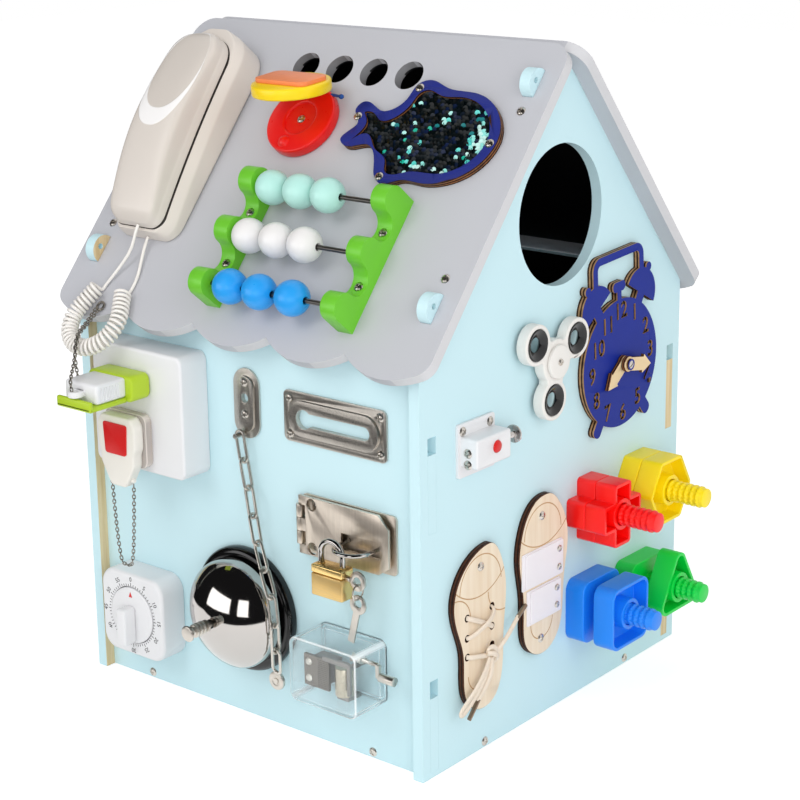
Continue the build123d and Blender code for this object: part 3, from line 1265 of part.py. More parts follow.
sole_a = extrude(outline(SOLE_A), amount=SOLE_T)
sole_b = extrude(outline(SOLE_B), amount=SOLE_T)
LACE_R = 1.8
LACE_HOLE_R = 2.4
LACE_L_Y = -109.5
LACE_R_Y = -83.0
LACE_ROWS = (101.0, 87.0, 74.0)
SOLE_A_SCREWS = ((-95.0, 132.0), (-95.0, 44.5))
SOLE_B_SCREWS = ((-27.0, 147.0), (-28.0, 59.5))
for z in LACE_ROWS:
    for y in (LACE_L_Y, LACE_R_Y):
        sole_a -= disc(LACE_HOLE_R, SOLE_T, y, z)
for y, z in SOLE_A_SCREWS:
    sole_a -= screw("right", y, z, SOLE_T)
for y, z in SOLE_B_SCREWS:
    sole_b -= screw("right", y, z, SOLE_T)
keep("shoe_soles", RIGHT, [sole_a, sole_b])

# Shoe lace: two crossings, a knot and two loose ends
LACE_REST = 0.2
LACE_W0 = SOLE_T + LACE_R + LACE_REST
LACE_W1 = LACE_W0 + 2 * LACE_R + LACE_REST


def on_right(y, z, w):
    return RIGHT.from_local_coords(Vector(y, z, w))


def lace_run(y0, z0, w0, y1, z1, w1):
    return cylinder_between(on_right(y0, z0, w0), on_right(y1, z1, w1), LACE_R)


KNOT_Y = -92.0
KNOT_Z = 69.0
KNOT_R = 4.5
lace = [
    lace_run(LACE_L_Y, LACE_ROWS[0], LACE_W0, LACE_R_Y, LACE_ROWS[1], LACE_W0),
    lace_run(LACE_R_Y, LACE_ROWS[0], LACE_W1, LACE_L_Y, LACE_ROWS[1], LACE_W1),
    lace_run(LACE_L_Y, LACE_ROWS[2], LACE_W0, KNOT_Y - KNOT_R, KNOT_Z + 1.0, LACE_W0),
    RIGHT.location * (Pos(KNOT_Y, KNOT_Z, SOLE_T + KNOT_R + LACE_REST) * Sphere(KNOT_R)),
]
KNOT_W = SOLE_T + KNOT_R + LACE_REST
END_A = [
    on_right(KNOT_Y + KNOT_R + FIT, KNOT_Z, KNOT_W),
    on_right(KNOT_Y + 19.0, KNOT_Z + 2.0, KNOT_W + 1.0),
    on_right(KNOT_Y + 40.0, KNOT_Z + 13.0, KNOT_W),
]
END_B = [
    on_right(KNOT_Y, KNOT_Z - KNOT_R - FIT, KNOT_W),
    on_right(KNOT_Y - 8.0, KNOT_Z - 22.0, KNOT_W + 1.0),
    on_right(KNOT_Y - 28.0, KNOT_Z - 32.0, KNOT_W),
]
LACE_BEND = 3 * 2 * LACE_R
lace.append(tube(END_A, LACE_BEND, LACE_R))
lace.append(tube(END_B, LACE_BEND, LACE_R))
nodes["shoe_lace"] = Compound(children=lace)

# Two hook-and-loop straps with rivets
STRAP_H = 2.0
STRAPS = ((-27.5, 112.5, 46.0, 26.0), (-26.0, 85.5, 38.0, 25.0))
RIVET_FLAT = 2.4
RIVET_FLAT_T = 1.0
RIVET_IN = 5.0
STRAP_R = 3.0
straps = []
for y, z, wide, tall in STRAPS:
    straps.append(slab(wide, tall, STRAP_R, STRAP_H, y, z, SOLE_T))
    for sign in (-1, 1):
        straps.append(disc(RIVET_FLAT, RIVET_FLAT_T, y + wide / 2 - RIVET_IN, z + sign * tall / 4, SOLE_T + STRAP_H))
keep("shoe_straps", RIGHT, straps)

# Four giant toy bolts with nuts of the same outline
BOLT_YS = (31.0, 93.0)
BOLT_ZS = (137.0, 66.0)
TOY_HEAD = 15.0
TOY_NUT = 16.0
TOY_STUD = 60.0
CREST_R = 7.6
ROOT_R = 6.7
THREAD_PITCH = 4.5
NUT_WALL = 2.4
NUT_DEEP = 11.0
NUT_BOSS_R = 11.0
PLUS_L = 45.0
PLUS_W = 20.0
HEX_R = 26.5
SQUARE = 45.0
TRI_R = 33.0
PLUS_CORNER = 3.0
HEX_CORNER = 4.0
SQUARE_CORNER = 8.0
TRI_CORNER = 7.0
TOY_EASE = 1.0
STUD_LEAD = 2.0
NUT_STAND = {"red": 0.4, "yellow": 0.4, "green": 9.5, "blue": 8.0}


def plus_shape():
    return RectangleRounded(PLUS_L, PLUS_W, PLUS_CORNER) + RectangleRounded(PLUS_W, PLUS_L, PLUS_CORNER)


def hex_shape():
    shape = RegularPolygon(HEX_R, 6)
    return fillet(shape.vertices(), HEX_CORNER)


def square_shape():
    return RectangleRounded(SQUARE, SQUARE, SQUARE_CORNER)


def tri_shape(turn):
    shape = Rot(0, 0, turn) * RegularPolygon(TRI_R, 3)
    return fillet(shape.vertices(), TRI_CORNER)


def stud():
    turns = int((TOY_STUD - TOY_HEAD - 2 * STUD_LEAD) / THREAD_PITCH)
    points = [(0, TOY_HEAD), (ROOT_R, TOY_HEAD)]
    for i in range(turns):
        w = TOY_HEAD + STUD_LEAD + i * THREAD_PITCH
        points.append((ROOT_R, w + THREAD_PITCH * 0.1))
        points.append((CREST_R, w + THREAD_PITCH * 0.35))
        points.append((CREST_R, w + THREAD_PITCH * 0.65))
        points.append((ROOT_R, w + THREAD_PITCH * 0.9))
    points += [(ROOT_R, TOY_STUD), (0, TOY_STUD)]
    return revolve(UPRIGHT * make_face(Polyline(*points, close=True)), Axis.Z)


def toy_bolt(shape):
    return soften(extrude(shape, amount=TOY_HEAD), TOY_EASE) + stud()


def toy_nut(shape):
    nut = extrude(shape, amount=TOY_NUT)
    cup = extrude(offset(shape, -NUT_WALL), amount=NUT_DEEP)
    nut -= Pos(0, 0, TOY_NUT - NUT_DEEP) * (cup - disc(NUT_BOSS_R, NUT_DEEP))
    return nut - disc(CREST_R + GAP, TOY_NUT)


TOYS = (
    ("red", plus_shape(), plus_shape(), 0, 0),
    ("yellow", hex_shape(), hex_shape(), 1, 0),
    ("green", tri_shape(30.0), tri_shape(-30.0), 1, 1),
    ("blue", square_shape(), square_shape(), 0, 1),
)
for colour, head_shape, nut_shape, col, row in TOYS:
    y = BOLT_YS[col]
    z = BOLT_ZS[row]
    keep(colour + "_bolt", RIGHT, Pos(y, z, 0) * toy_bolt(head_shape))
    keep(colour + "_nut", RIGHT, Pos(y, z, TOY_HEAD + NUT_STAND[colour]) * toy_nut(nut_shape))

# Drilled panels and the screws
for hole in drill["front"]:
    front_wall -= hole
for hole in drill["right"]:
    right_wall -= hole
for hole in drill["roof"]:
    front_roof -= hole
nodes["front_wall"] = FRONT.location * front_wall
nodes["back_wall"] = BACK.location * back_wall
nodes["right_wall"] = RIGHT.location * right_wall
nodes["left_wall"] = LEFT.location * left_wall
nodes["front_roof"] = ROOF.location * front_roof
nodes["back_roof"] = ROOF_BACK.location * back_roof
nodes["floor_panel"] = floor_panel
nodes["wood_screws"] = Compound(children=screws)

for name, shape in nodes.items():
    export_step(shape, "parts/" + name + ".step")
print(len(nodes), "nodes")
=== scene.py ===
import math
import random

import bpy
from mathutils import Matrix, Vector


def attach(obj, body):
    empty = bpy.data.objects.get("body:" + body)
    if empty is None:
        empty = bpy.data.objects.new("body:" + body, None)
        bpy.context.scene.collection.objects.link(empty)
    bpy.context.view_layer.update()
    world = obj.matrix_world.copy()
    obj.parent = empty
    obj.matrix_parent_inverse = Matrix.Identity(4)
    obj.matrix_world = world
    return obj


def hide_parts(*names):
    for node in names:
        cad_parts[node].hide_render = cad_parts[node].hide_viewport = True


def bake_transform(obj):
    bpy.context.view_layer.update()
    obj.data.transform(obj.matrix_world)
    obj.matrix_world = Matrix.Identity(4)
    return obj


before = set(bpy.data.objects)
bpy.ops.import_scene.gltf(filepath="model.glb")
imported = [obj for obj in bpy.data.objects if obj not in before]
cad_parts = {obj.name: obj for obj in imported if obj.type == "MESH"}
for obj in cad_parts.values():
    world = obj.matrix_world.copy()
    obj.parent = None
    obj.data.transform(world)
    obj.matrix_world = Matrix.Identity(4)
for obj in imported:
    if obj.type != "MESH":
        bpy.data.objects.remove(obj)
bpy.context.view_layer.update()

# The studio: a plain white sheet under the house and soft white light all round.
# The sheet and the sky are white to the camera, in gloss and through clear plastic,
# and the sheet keeps the soft shadow of the house.
scene = bpy.context.scene
scene.view_settings.view_transform = "Standard"


class Net:
    """The shader nodes of one tree, with short ways to add and join them."""

    def __init__(self, tree):
        self.nodes, self.links = tree.nodes, tree.links

    def feed(self, sockets, values):
        for name, value in values.items():
            if isinstance(value, bpy.types.NodeSocket):
                self.links.new(value, sockets[name])
            elif value is not None:
                sockets[name].default_value = value

    def add(self, kind, values=None, **settings):
        node = self.nodes.new("ShaderNode" + kind)
        for name, value in settings.items():
            setattr(node, name, value)
        self.feed(node.inputs, values or {})
        return node

    def math(self, operation, a, b=None, clamp=False):
        return self.add("Math", {0: a, 1: b}, operation=operation, use_clamp=clamp).outputs[0]

    def mix(self, factor, a, b):
        return self.add("Mix", {"Factor": factor, "A": a, "B": b}, data_type="RGBA").outputs["Result"]

    def ramp(self, value, low, high, to_low=0.0, to_high=1.0):
        limits = {"From Min": low, "From Max": high, "To Min": to_low, "To Max": to_high}
        return self.add("MapRange", {"Value": value, **limits}).outputs[0]

    def noise(self, vector, scale, detail=3.0, roughness=0.55):
        values = {"Vector": vector, "Scale": scale, "Detail": detail, "Roughness": roughness}
        return self.add("TexNoise", values).outputs["Fac"]

    def place(self):
        return self.add("TexCoord").outputs["Object"]

    def facing(self):
        return self.add("NewGeometry").outputs["Normal"]

    def axes(self, vector):
        return self.add("SeparateXYZ", {0: vector}).outputs

    def dot(self, vector, axis):
        return self.add("VectorMath", {0: vector, 1: axis}, operation="DOT_PRODUCT").outputs["Value"]

    def stretched(self, vector, scale):
        return self.add("Mapping", {"Vector": vector, "Scale": scale}).outputs[0]


def new_material(name):
    material = bpy.data.materials.new(name)
    material.use_nodes = True
    material.node_tree.nodes.clear()
    return material, Net(material.node_tree)


def seen_directly(net):
    ray = net.add("LightPath").outputs
    either = net.math("MAXIMUM", ray["Is Camera Ray"], ray["Is Glossy Ray"])
    return net.math("MAXIMUM", either, ray["Is Transmission Ray"])


bpy.ops.object.select_all(action="DESELECT")
bpy.ops.mesh.primitive_plane_add(size=8.0, location=(0, 0, -0.0004))
floor = bpy.context.object
floor.name = "studio_sheet"
sheet_paper, net = new_material("sheet_paper")
paper = net.add("BsdfDiffuse", {"Color": (0.86, 0.86, 0.86, 1)})
glow = net.add("Emission", {"Strength": net.math("MULTIPLY", seen_directly(net), 0.5)})
both = net.add("AddShader", {0: paper.outputs[0], 1: glow.outputs[0]})
net.add("OutputMaterial", {"Surface": both.outputs[0]})
floor.data.materials.append(sheet_paper)

world = bpy.data.worlds.new("studio_sky")
world.use_nodes = True
scene.world = world
net = Net(world.node_tree)
strength = net.ramp(seen_directly(net), 0.0, 1.0, 0.6, 1.0)
net.feed(net.nodes["Background"].inputs, {"Color": (1, 1, 1, 1), "Strength": strength})


def soft_lamp(name, place, aim, size, power):
    bpy.ops.object.light_add(type="AREA", location=place)
    lamp = bpy.context.object
    lamp.name = name
    lamp.data.size = size
    lamp.data.energy = power
    lamp.visible_glossy = False
    lamp.rotation_euler = (Vector(aim) - Vector(place)).to_track_quat("-Z", "Y").to_euler()


soft_lamp("key_lamp", (-0.3, -1.9, 1.7), (0, 0, 0.25), 1.2, 13)
soft_lamp("side_lamp", (1.9, -0.5, 1.2), (0, 0, 0.2), 1.2, 8)
soft_lamp("fill_lamp", (1.35, -1.55, 0.45), (0, 0, 0.2), 1.2, 15)

# The room round the sheet, seen only in gloss: dark walls, ceiling and floor past the edge
# of the sheet, and two bright soft boxes in front.


def card(name, size, place, turn, colour, strength=1.0):
    bpy.ops.object.select_all(action="DESELECT")
    bpy.ops.mesh.primitive_plane_add(size=1.0, location=place, rotation=[math.radians(a) for a in turn])
    plane = bpy.context.object
    plane.name = name
    plane.scale = (*size, 1)
    for ray in ("camera", "diffuse", "transmission", "shadow"):
        setattr(plane, "visible_" + ray, False)
    face, net = new_material(name + "_face")
    light = net.add("Emission", {"Color": (*colour, 1), "Strength": strength})
    net.add("OutputMaterial", {"Surface": light.outputs[0]})
    plane.data.materials.append(face)


room, soft_box, soft_strength = (0.012, 0.012, 0.013), (1, 1, 1), 2.2
card("front_card", (7.0, 4.0), (0, -3.0, 1.9), (90, 0, 0), room)
card("left_card", (6.0, 4.0), (-3.2, 0, 1.9), (90, 0, 90), room)
card("right_card", (2.6, 4.0), (3.2, -1.9, 1.9), (90, 0, 90), room)
card("top_card", (7.0, 3.2), (0, -1.7, 3.0), (0, 0, 0), room)
card("front_floor_card", (7.0, 2.6), (0, -1.74, 0.0006), (0, 0, 0), room)
card("left_floor_card", (2.6, 3.5), (-1.74, 0.9, 0.0006), (0, 0, 0), room)
card("left_soft_box", (2.0, 1.0), (-1.12, -2.2, 0.55), (90, 0, -27), soft_box, soft_strength)
card("right_soft_box", (0.75, 1.4), (0.73, -2.39, 0.45), (90, 0, 17), soft_box, soft_strength)

# The camera, fitted to the house's corners in the photograph.
azimuth, elevation, roll = (math.radians(angle) for angle in (39.04, 14.80, -0.67))
aim, distance = Vector((0.0282, 0, 0.2432)), 1.3851
back = Vector((
    math.sin(azimuth) * math.cos(elevation),
    -math.cos(azimuth) * math.cos(elevation),
    math.sin(elevation),
))
level_right = Vector((math.cos(azimuth), math.sin(azimuth), 0))
level_up = back.cross(level_right)
right = level_right * math.cos(roll) + level_up * math.sin(roll)
up = level_up * math.cos(roll) - level_right * math.sin(roll)
eye = aim + back * distance
bpy.ops.object.camera_add()
camera = bpy.context.object
camera.matrix_world = Matrix.Translation(eye) @ Matrix((right, up, back)).transposed().to_4x4()
camera.data.lens = 88.6
camera.data.sensor_width = 36.0
camera.data.shift_x = -0.01925
camera.data.shift_y = -0.07725
scene.camera = camera

# The house: walls and floor of 8 mm plywood, pale blue paint outside and painted shade, near black,
# inside, joined by tenons. The tenon ends and the side walls' front edges are bare.


def linear(code):
    part = [int(code[i : i + 2], 16) / 255 for i in (1, 3, 5)]
    return tuple(c / 12.92 if c <= 0.04045 else ((c + 0.055) / 1.055) ** 2.4 for c in part) + (1,)


def new_group(name, inputs, outputs):
    group = bpy.data.node_groups.new(name, "ShaderNodeTree")
    for way, sockets in (("INPUT", inputs), ("OUTPUT", outputs)):
        for socket, kind in sockets.items():
            group.interface.new_socket(socket, in_out=way, socket_type="NodeSocket" + kind)
    into, outof = group.nodes.new("NodeGroupInput"), group.nodes.new("NodeGroupOutput")
    return group, Net(group), into.outputs, outof.inputs


# Cloudy tone: a colour that drifts a little, a roughness that drifts with it, a fine skin.
cloud, net, into, outof = new_group(
    "cloudy_tone",
    {"Colour": "Color", **dict.fromkeys(("Drift", "Size", "Skin Size", "Rough", "Rough Drift"), "Float")},
    {"Colour": "Color", "Rough": "Float", "Height": "Float"},
)
place = net.place()
broad = net.noise(place, into["Size"])
fine = net.noise(place, into["Skin Size"], 2.0)
gain = net.math("ADD", net.math("MULTIPLY", net.math("SUBTRACT", broad, 0.5), into["Drift"]), 1.0)
tint = net.add("VectorMath", {0: into["Colour"], "Scale": gain}, operation="SCALE")
wander = net.math("MULTIPLY", net.math("SUBTRACT", fine, 0.5), into["Rough Drift"])
rough = net.math("ADD", into["Rough"], wander, clamp=True)
net.feed(outof, {"Colour": tint.outputs[0], "Rough": rough, "Height": fine})


def principled(name):
    material, net = new_material(name)
    shader = net.add("BsdfPrincipled")
    net.add("OutputMaterial", {"Surface": shader.outputs[0]})
    return material, net, shader.inputs


def coat(
    name, code, rough=0.4, drift=0.08, size=14.0, skin=900.0, bump=0.04, rough_drift=0.12, metallic=0.0,
    spec=0.5
):
    material, net, shader = principled(name)
    values = {"Colour": linear(code), "Drift": drift, "Size": size, "Skin Size": skin}
    values |= {"Rough": rough, "Rough Drift": rough_drift}
    tone = net.add("Group", values, node_tree=cloud).outputs
    relief = net.add("Bump", {"Strength": bump, "Distance": 0.0005, "Height": tone["Height"]})
    net.feed(shader, {"Base Color": tone["Colour"], "Roughness": tone["Rough"], "Normal": relief.outputs[0]})
    net.feed(shader, {"Metallic": metallic, "Specular IOR Level": spec})
    return material


def coat_parts(material):
    net = Net(material.node_tree)
    shader = net.nodes["Principled BSDF"].inputs
    return net, shader, shader["Base Color"].links[0].from_socket


# Inside: 1 where a face bounds the hollow of the house, by its place alone.
roof_slope, under_ridge = 1.19175, 0.4555
inside, net, into, outof = new_group(
    "inside_of_house", {"Half Wide": "Float", "Half Deep": "Float"}, {"Mask": "Float"}
)
x, y, z = net.axes(net.place())
off_x, off_y = net.math("ABSOLUTE", x), net.math("ABSOLUTE", y)
near_x = net.math("LESS_THAN", off_x, into["Half Wide"])
near_y = net.math("LESS_THAN", off_y, into["Half Deep"])
height = net.math("ADD", net.math("MULTIPLY", off_y, roof_slope), z)
under_roof = net.math("LESS_THAN", height, under_ridge)
net.feed(outof, {"Mask": net.math("MULTIPLY", net.math("MULTIPLY", near_x, near_y), under_roof)})


def indoors(net, half_wide, half_deep):
    return net.add(
        "Group", {"Half Wide": half_wide, "Half Deep": half_deep}, node_tree=inside
    ).outputs["Mask"]


# Wood grain: long streaks along one axis, in pale and dark bands.
grain, net, into, outof = new_group(
    "wood_grain",
    {"Vector": "Vector", "Pale": "Color", "Dark": "Color", "Streak Size": "Float"},
    {"Colour": "Color", "Height": "Float"},
)
streaks = net.noise(net.stretched(into["Vector"], (1.0, 1.0, 0.06)), into["Streak Size"], 6.0, 0.6)
bands = net.mix(net.ramp(streaks, 0.35, 0.75), into["Pale"], into["Dark"])
net.feed(outof, {"Colour": bands, "Height": streaks})


def wood(net, pale, dark, streak):
    values = {"Vector": net.place(), "Pale": linear(pale), "Dark": linear(dark), "Streak Size": streak}
    return net.add("Group", values, node_tree=grain).outputs["Colour"]


def paint(material, slot, *names):
    for name in names:
        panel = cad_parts[name]
        panel.data.materials.clear()
        panel.data.materials.append(material)


bare_wood = ("#E3D0A8", "#C9AE7C", 260.0)
# Near black, painted on every face inside the house as painted shade for its dark hollow.
interior_shade = linear("#0B0B0D")
wall_paint = coat("wall_paint", "#C9E8EF", rough=0.5, drift=0.05, size=5.0, skin=700.0, bump=0.05)
net, shader, painted = coat_parts(wall_paint)
facing, spot = net.axes(net.facing()), net.axes(net.place())
to_right, at_left = net.math("GREATER_THAN", facing[0], 0.9), net.math("LESS_THAN", spot[0], -0.1435)
raw = net.mix(net.math("MULTIPLY", to_right, at_left), painted, wood(net, *bare_wood))
# Faces inside the house get the painted shade in place of the paint.
net.feed(shader, {"Base Color": net.mix(indoors(net, 0.1442, 0.1342), raw, interior_shade)})
paint(wall_paint, "wall_paint", "front_wall", "left_wall", "right_wall", "floor_panel")

# The back wall's tenons end flush in the side walls and show bare wood there.
back_paint = wall_paint.copy()
back_paint.name = "back_wall_paint"
net, shader, painted = coat_parts(back_paint)
tenon_end = net.math("GREATER_THAN", net.math("ABSOLUTE", net.axes(net.facing())[0]), 0.9)
net.feed(shader, {"Base Color": net.mix(tenon_end, painted, wood(net, *bare_wood))})
paint(back_paint, "wall_paint", "back_wall")

# The roof: two grey painted boards with a scalloped eave, slotted over the lugs of the
# side walls. The sawn edges are painted a shade paler, a painted highlight where they round over,
# the bores of the four holes darker as painted shade, and the underside inside black as painted shade.
roof_paint = coat("roof_paint", "#BEBFC5", rough=0.5, drift=0.05, size=6.0, skin=700.0, bump=0.05)
net, shader, painted = coat_parts(roof_paint)
facing, spot = net.axes(net.facing()), net.axes(net.place())
flat_y = net.math("MULTIPLY", net.math("ABSOLUTE", facing[1]), 0.766)
flat_z = net.math("MULTIPLY", net.math("ABSOLUTE", facing[2]), 0.643)
edge = net.math("LESS_THAN", net.math("ADD", flat_y, flat_z), 0.97)
# Sawn edges painted paler grey: a painted highlight where the edges round over.
edge_light_and_bore_shade = net.mix(edge, painted, linear("#CFCFD2"))
# The bores of the row of round holes painted darker grey: painted shade inside the holes.
bore_shade_mask = net.math("MULTIPLY", edge, net.math("LESS_THAN", net.math("ABSOLUTE", spot[0]), 0.14))
for test, limit in (("GREATER_THAN", 0.40), ("LESS_THAN", 0.449)):
    bore_shade_mask = net.math("MULTIPLY", bore_shade_mask, net.math(test, spot[2], limit))
edge_light_and_bore_shade = net.mix(bore_shade_mask, edge_light_and_bore_shade, linear("#8C8C8F"))
# The underside inside the house painted near black: painted shade.
under = net.math("MULTIPLY", net.math("LESS_THAN", facing[2], -0.3), indoors(net, 0.1438, 0.1330))
net.feed(shader, {"Base Color": net.mix(under, edge_light_and_bore_shade, interior_shade)})
paint(roof_paint, "roof_paint", "front_roof", "back_roof")

# Wood screws: nickel cross-head screws that hold every fitting to its panel. The head is
# a low dome with a cross cut into it, turned and slotted once and copied to each hole.
mm = 0.001
panel_thick, front_y, right_x, eave_z, half_deep = 8, -142, 152, 274, 150
rise, run = math.sin(math.radians(50)), math.cos(math.radians(50))
apex = eave_z + half_deep * rise / run
AS_CAD = Matrix.Identity(4)
FRONT = Matrix.Scale(mm, 4) @ Matrix(((1, 0, 0, 0), (0, 0, -1, front_y), (0, 1, 0, 0), (0, 0, 0, 1)))
RIGHT = Matrix.Scale(mm, 4) @ Matrix(((0, 0, 1, right_x), (1, 0, 0, 0), (0, 1, 0, 0), (0, 0, 0, 1)))
ROOF = Matrix.Scale(mm, 4) @ Matrix((
    (1, 0, 0, 0),
    (0, run, -rise, -panel_thick * rise),
    (0, rise, run, apex + panel_thick * run),
    (0, 0, 0, 1),
))


def pick(obj):
    bpy.ops.object.select_all(action="DESELECT")
    obj.select_set(True)
    bpy.context.view_layer.objects.active = obj


def open_mesh(obj):
    pick(obj)
    bpy.ops.object.mode_set(mode="EDIT")
    bpy.ops.mesh.select_all(action="SELECT")


def close_mesh():
    bpy.ops.object.mode_set(mode="OBJECT")


def turned(name, profile, steps=48):
    bpy.ops.object.select_all(action="DESELECT")
    bpy.ops.mesh.primitive_plane_add(size=1.0)
    obj = bpy.context.object
    obj.name = name
    open_mesh(obj)
    bpy.ops.mesh.merge(type="CENTER")
    bpy.ops.transform.translate(value=(profile[0][0], 0, profile[0][1]))
    for (r0, h0), (r1, h1) in zip(profile, profile[1:]):
        bpy.ops.mesh.extrude_vertices_move(TRANSFORM_OT_translate={"value": (r1 - r0, 0, h1 - h0)})
    bpy.ops.mesh.select_all(action="SELECT")
    bpy.ops.mesh.spin(steps=steps, angle=math.tau, center=(0, 0, 0), axis=(0, 0, 1))
    bpy.ops.mesh.select_all(action="SELECT")
    bpy.ops.mesh.remove_doubles(threshold=0.002)
    bpy.ops.mesh.normals_make_consistent(inside=False)
    close_mesh()
    return obj


def eased_block(name, size, at=(0, 0, 0), ease=0.6, segments=3):
    bpy.ops.object.select_all(action="DESELECT")
    bpy.ops.mesh.primitive_cube_add(size=1.0)
    obj = bpy.context.object
    obj.name = name
    open_mesh(obj)
    bpy.ops.transform.resize(value=size)
    bpy.ops.mesh.bevel(offset=ease, offset_type="OFFSET", segments=segments, affect="EDGES")
    bpy.ops.mesh.select_all(action="SELECT")
    bpy.ops.transform.translate(value=at)
    close_mesh()
    return obj


def carve(obj, tool):
    cut = obj.modifiers.new("carve", "BOOLEAN")
    cut.operation = "DIFFERENCE"
    cut.object = tool
    cut.solver = "EXACT"
    pick(obj)
    bpy.ops.object.modifier_apply(modifier=cut.name)
    bpy.data.objects.remove(tool)


def join(first, *others):
    bpy.ops.object.select_all(action="DESELECT")
    for obj in (first, *others):
        obj.select_set(True)
    bpy.context.view_layer.objects.active = first
    bpy.ops.object.join()
    return first


def copy_of(obj, place):
    pick(obj)
    bpy.ops.object.duplicate()
    twin = bpy.context.object
    twin.matrix_world = place
    return twin


def spun(degrees, axis):
    return Matrix.Rotation(math.radians(degrees), 4, axis)


def place_at(u, v, w=0.0, turn=0.0):
    return Matrix.Translation((u, v, w)) @ spun(turn, "Z")


def settle(obj, seat, material, body, slot, *replaced, angle=35.0):
    obj.matrix_world = seat @ obj.matrix_world
    pick(obj)
    bpy.ops.object.transform_apply(location=True, rotation=True, scale=True)
    bpy.ops.object.shade_smooth_by_angle(angle=math.radians(angle))
    obj.data.materials.clear()
    obj.data.materials.append(material)
    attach(obj, body)
    if replaced:
        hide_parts(*replaced)
    return obj


nickel = coat(
    "nickel", "#D0C9C0", rough=0.3, drift=0.25, size=120.0, skin=2500.0, bump=0.03, rough_drift=0.25,
    metallic=1.0
)
screw = turned(
    "screw",
    ((0, 1.5), (0.9, 1.45), (1.9, 1.2), (2.7, 0.7), (3.15, 0.12), (3.2, 0), (1.4, 0), (1.4, -6), (0, -6)), 24
)
for turn in (0, 90):
    slot_cut = eased_block("slot_cut", (4.0, 0.8, 1.4), (0, 0, 1.5), 0.1, 1)
    slot_cut.rotation_euler = (0, 0, math.radians(turn))
    carve(screw, slot_cut)
castanet_x, castanet_y = -19, -78.5
seats = [(FRONT, u, 4, 0) for u in (-103.5, 103.5)] + [(RIGHT, y, 4, 0) for y in (-84.5, 84.5)]
seats += [(ROOF, x, -s, 0) for x in (-148, 148) for s in (52, 174)]
seats += [(ROOF, castanet_x, castanet_y, 6)]
seats += [(ROOF, x, -s, 5) for x, s in ((66, 45), (26.5, 71), (139.5, 80), (66.5, 113))]
seats += [(ROOF, x, -s, h) for x in (-22, 92.5) for s, h in ((153.5, 7.5), (192.25, 6.75))]
seats += [(FRONT, 0.5, z, 3.4) for z in (240, 218)]
seats += [(FRONT, 77.3 + a * 38.3, 223.8 + b * 12.25, 1.6) for a in (-1, 1) for b in (-1, 1)]
seats += [(RIGHT, y, z, 2) for y, z in ((-109.25, 225.75), (-80.75, 225.75))]
seats += [(FRONT, 160, z, -30) for z in (213, 205.5)]
seats += [(RIGHT, y, z, 5) for y, z in ((-95, 132), (-95, 44.5), (-27, 147), (-28, 59.5))]
seats += [(FRONT, 60, 153 + a * 15, 1.6) for a in (-1, 1)]
screws = [copy_of(screw, seat @ place_at(u, v, w, 37 * i % 90)) for i, (seat, u, v, w) in enumerate(seats)]
bpy.data.objects.remove(screw)
screws = join(*screws)
screws.name = "cross_head_screws"
settle(screws, AS_CAD, nickel, "house", "nickel", "wood_screws")

# The toy telephone: a wedge cradle and a handset of beige moulded plastic, both hollow
# shells with eased corners. The handset carries a darker oval inlay in a white surround,
# and the cradle top round the handset's foot is painted dark as painted shade in the gap.


def new_piece(name, data):
    obj = bpy.data.objects.new(name, data)
    scene.collection.objects.link(obj)
    return obj


def meshed(name, points, faces):
    mesh = bpy.data.meshes.new(name)
    mesh.from_pydata(points, [], faces)
    return new_piece(name, mesh)


def face_out(obj):
    open_mesh(obj)
    bpy.ops.mesh.normals_make_consistent(inside=False)
    close_mesh()
    return obj


def lofted(name, sections):
    count = len(sections[0])
    last = (len(sections) - 1) * count
    faces = []
    for i in range(0, last, count):
        for j in range(count):
            k = (j + 1) % count
            faces.append((i + j, i + k, i + count + k, i + count + j))
    faces.append(tuple(range(count - 1, -1, -1)))
    faces.append(tuple(range(last, last + count)))
    obj = face_out(meshed(name, [p for ring in sections for p in ring], faces))
    smooth = obj.modifiers.new("smooth", "SUBSURF")
    smooth.levels = smooth.render_levels = 2
    bpy.ops.object.modifier_apply(modifier=smooth.name)
    return obj


def half_width(s, top, low, wide, round_top, round_low):
    half = wide / 2
    if s - top < round_top:
        d = round_top - (s - top)
        return half - round_top + math.sqrt(max(round_top**2 - d * d, 0))
    if low - s < round_low:
        d = round_low - (low - s)
        return half - round_low + math.sqrt(max(round_low**2 - d * d, 0))
    return half


def spread(top, low, middle):
    ends = [0.0, 0.35, 1.2, 3.0, 6.0, 10.0, 15.0, 21.0]
    near = ends[-1]
    inner = [top + near + (low - top - 2 * near) * i / middle for i in range(1, middle)]
    return [top + e for e in ends] + inner + [low - e for e in reversed(ends)]


phone_x, cradle_from, cradle_to, handset_from, handset_to = -109.0, 27, 182, 36, 180


def cradle_top(s):
    t = (s - cradle_from) / (cradle_to - cradle_from)
    return 28.9 - 15.9 * t + 14.4 * t * (1 - t)


def both_sides(side, s):
    return [(phone_x + u, -s, k) for u, k in side] + [(phone_x - u, -s, k) for u, k in reversed(side)]


rings = []
for s in spread(cradle_from, cradle_to, 8):
    w = half_width(s, cradle_from, cradle_to, 58, 22, 12)
    h = cradle_top(s)
    rim = min(1.0, (min(s - cradle_from, cradle_to - s) + 0.6) / 3)
    ease = 1.2 + 3.4 * rim
    side = [
        (w, 0), (w, 0.6), (w, h - 7.5), (w - 0.4, h - 6.6), (w - ease, h - 0.5), (w - ease - 0.9, h),
        (w * 0.4, h)
    ]
    rings.append(both_sides(side, s))
cradle = lofted("phone_cradle_shell", rings)

key_s = (36, 44, 53, 62, 71, 81, 91, 102, 112, 123, 134, 145, 157, 169, 180)
key_h = (41.0, 42.7, 44.2, 45.4, 46.3, 47.0, 47.3, 47.2, 46.5, 44.9, 42.4, 39.1, 34.8, 29.9, 25.0)


def handset_top(s):
    for (s0, h0), (s1, h1) in zip(zip(key_s, key_h), zip(key_s[1:], key_h[1:])):
        if s <= s1:
            return h0 + (h1 - h0) * (s - s0) / (s1 - s0)


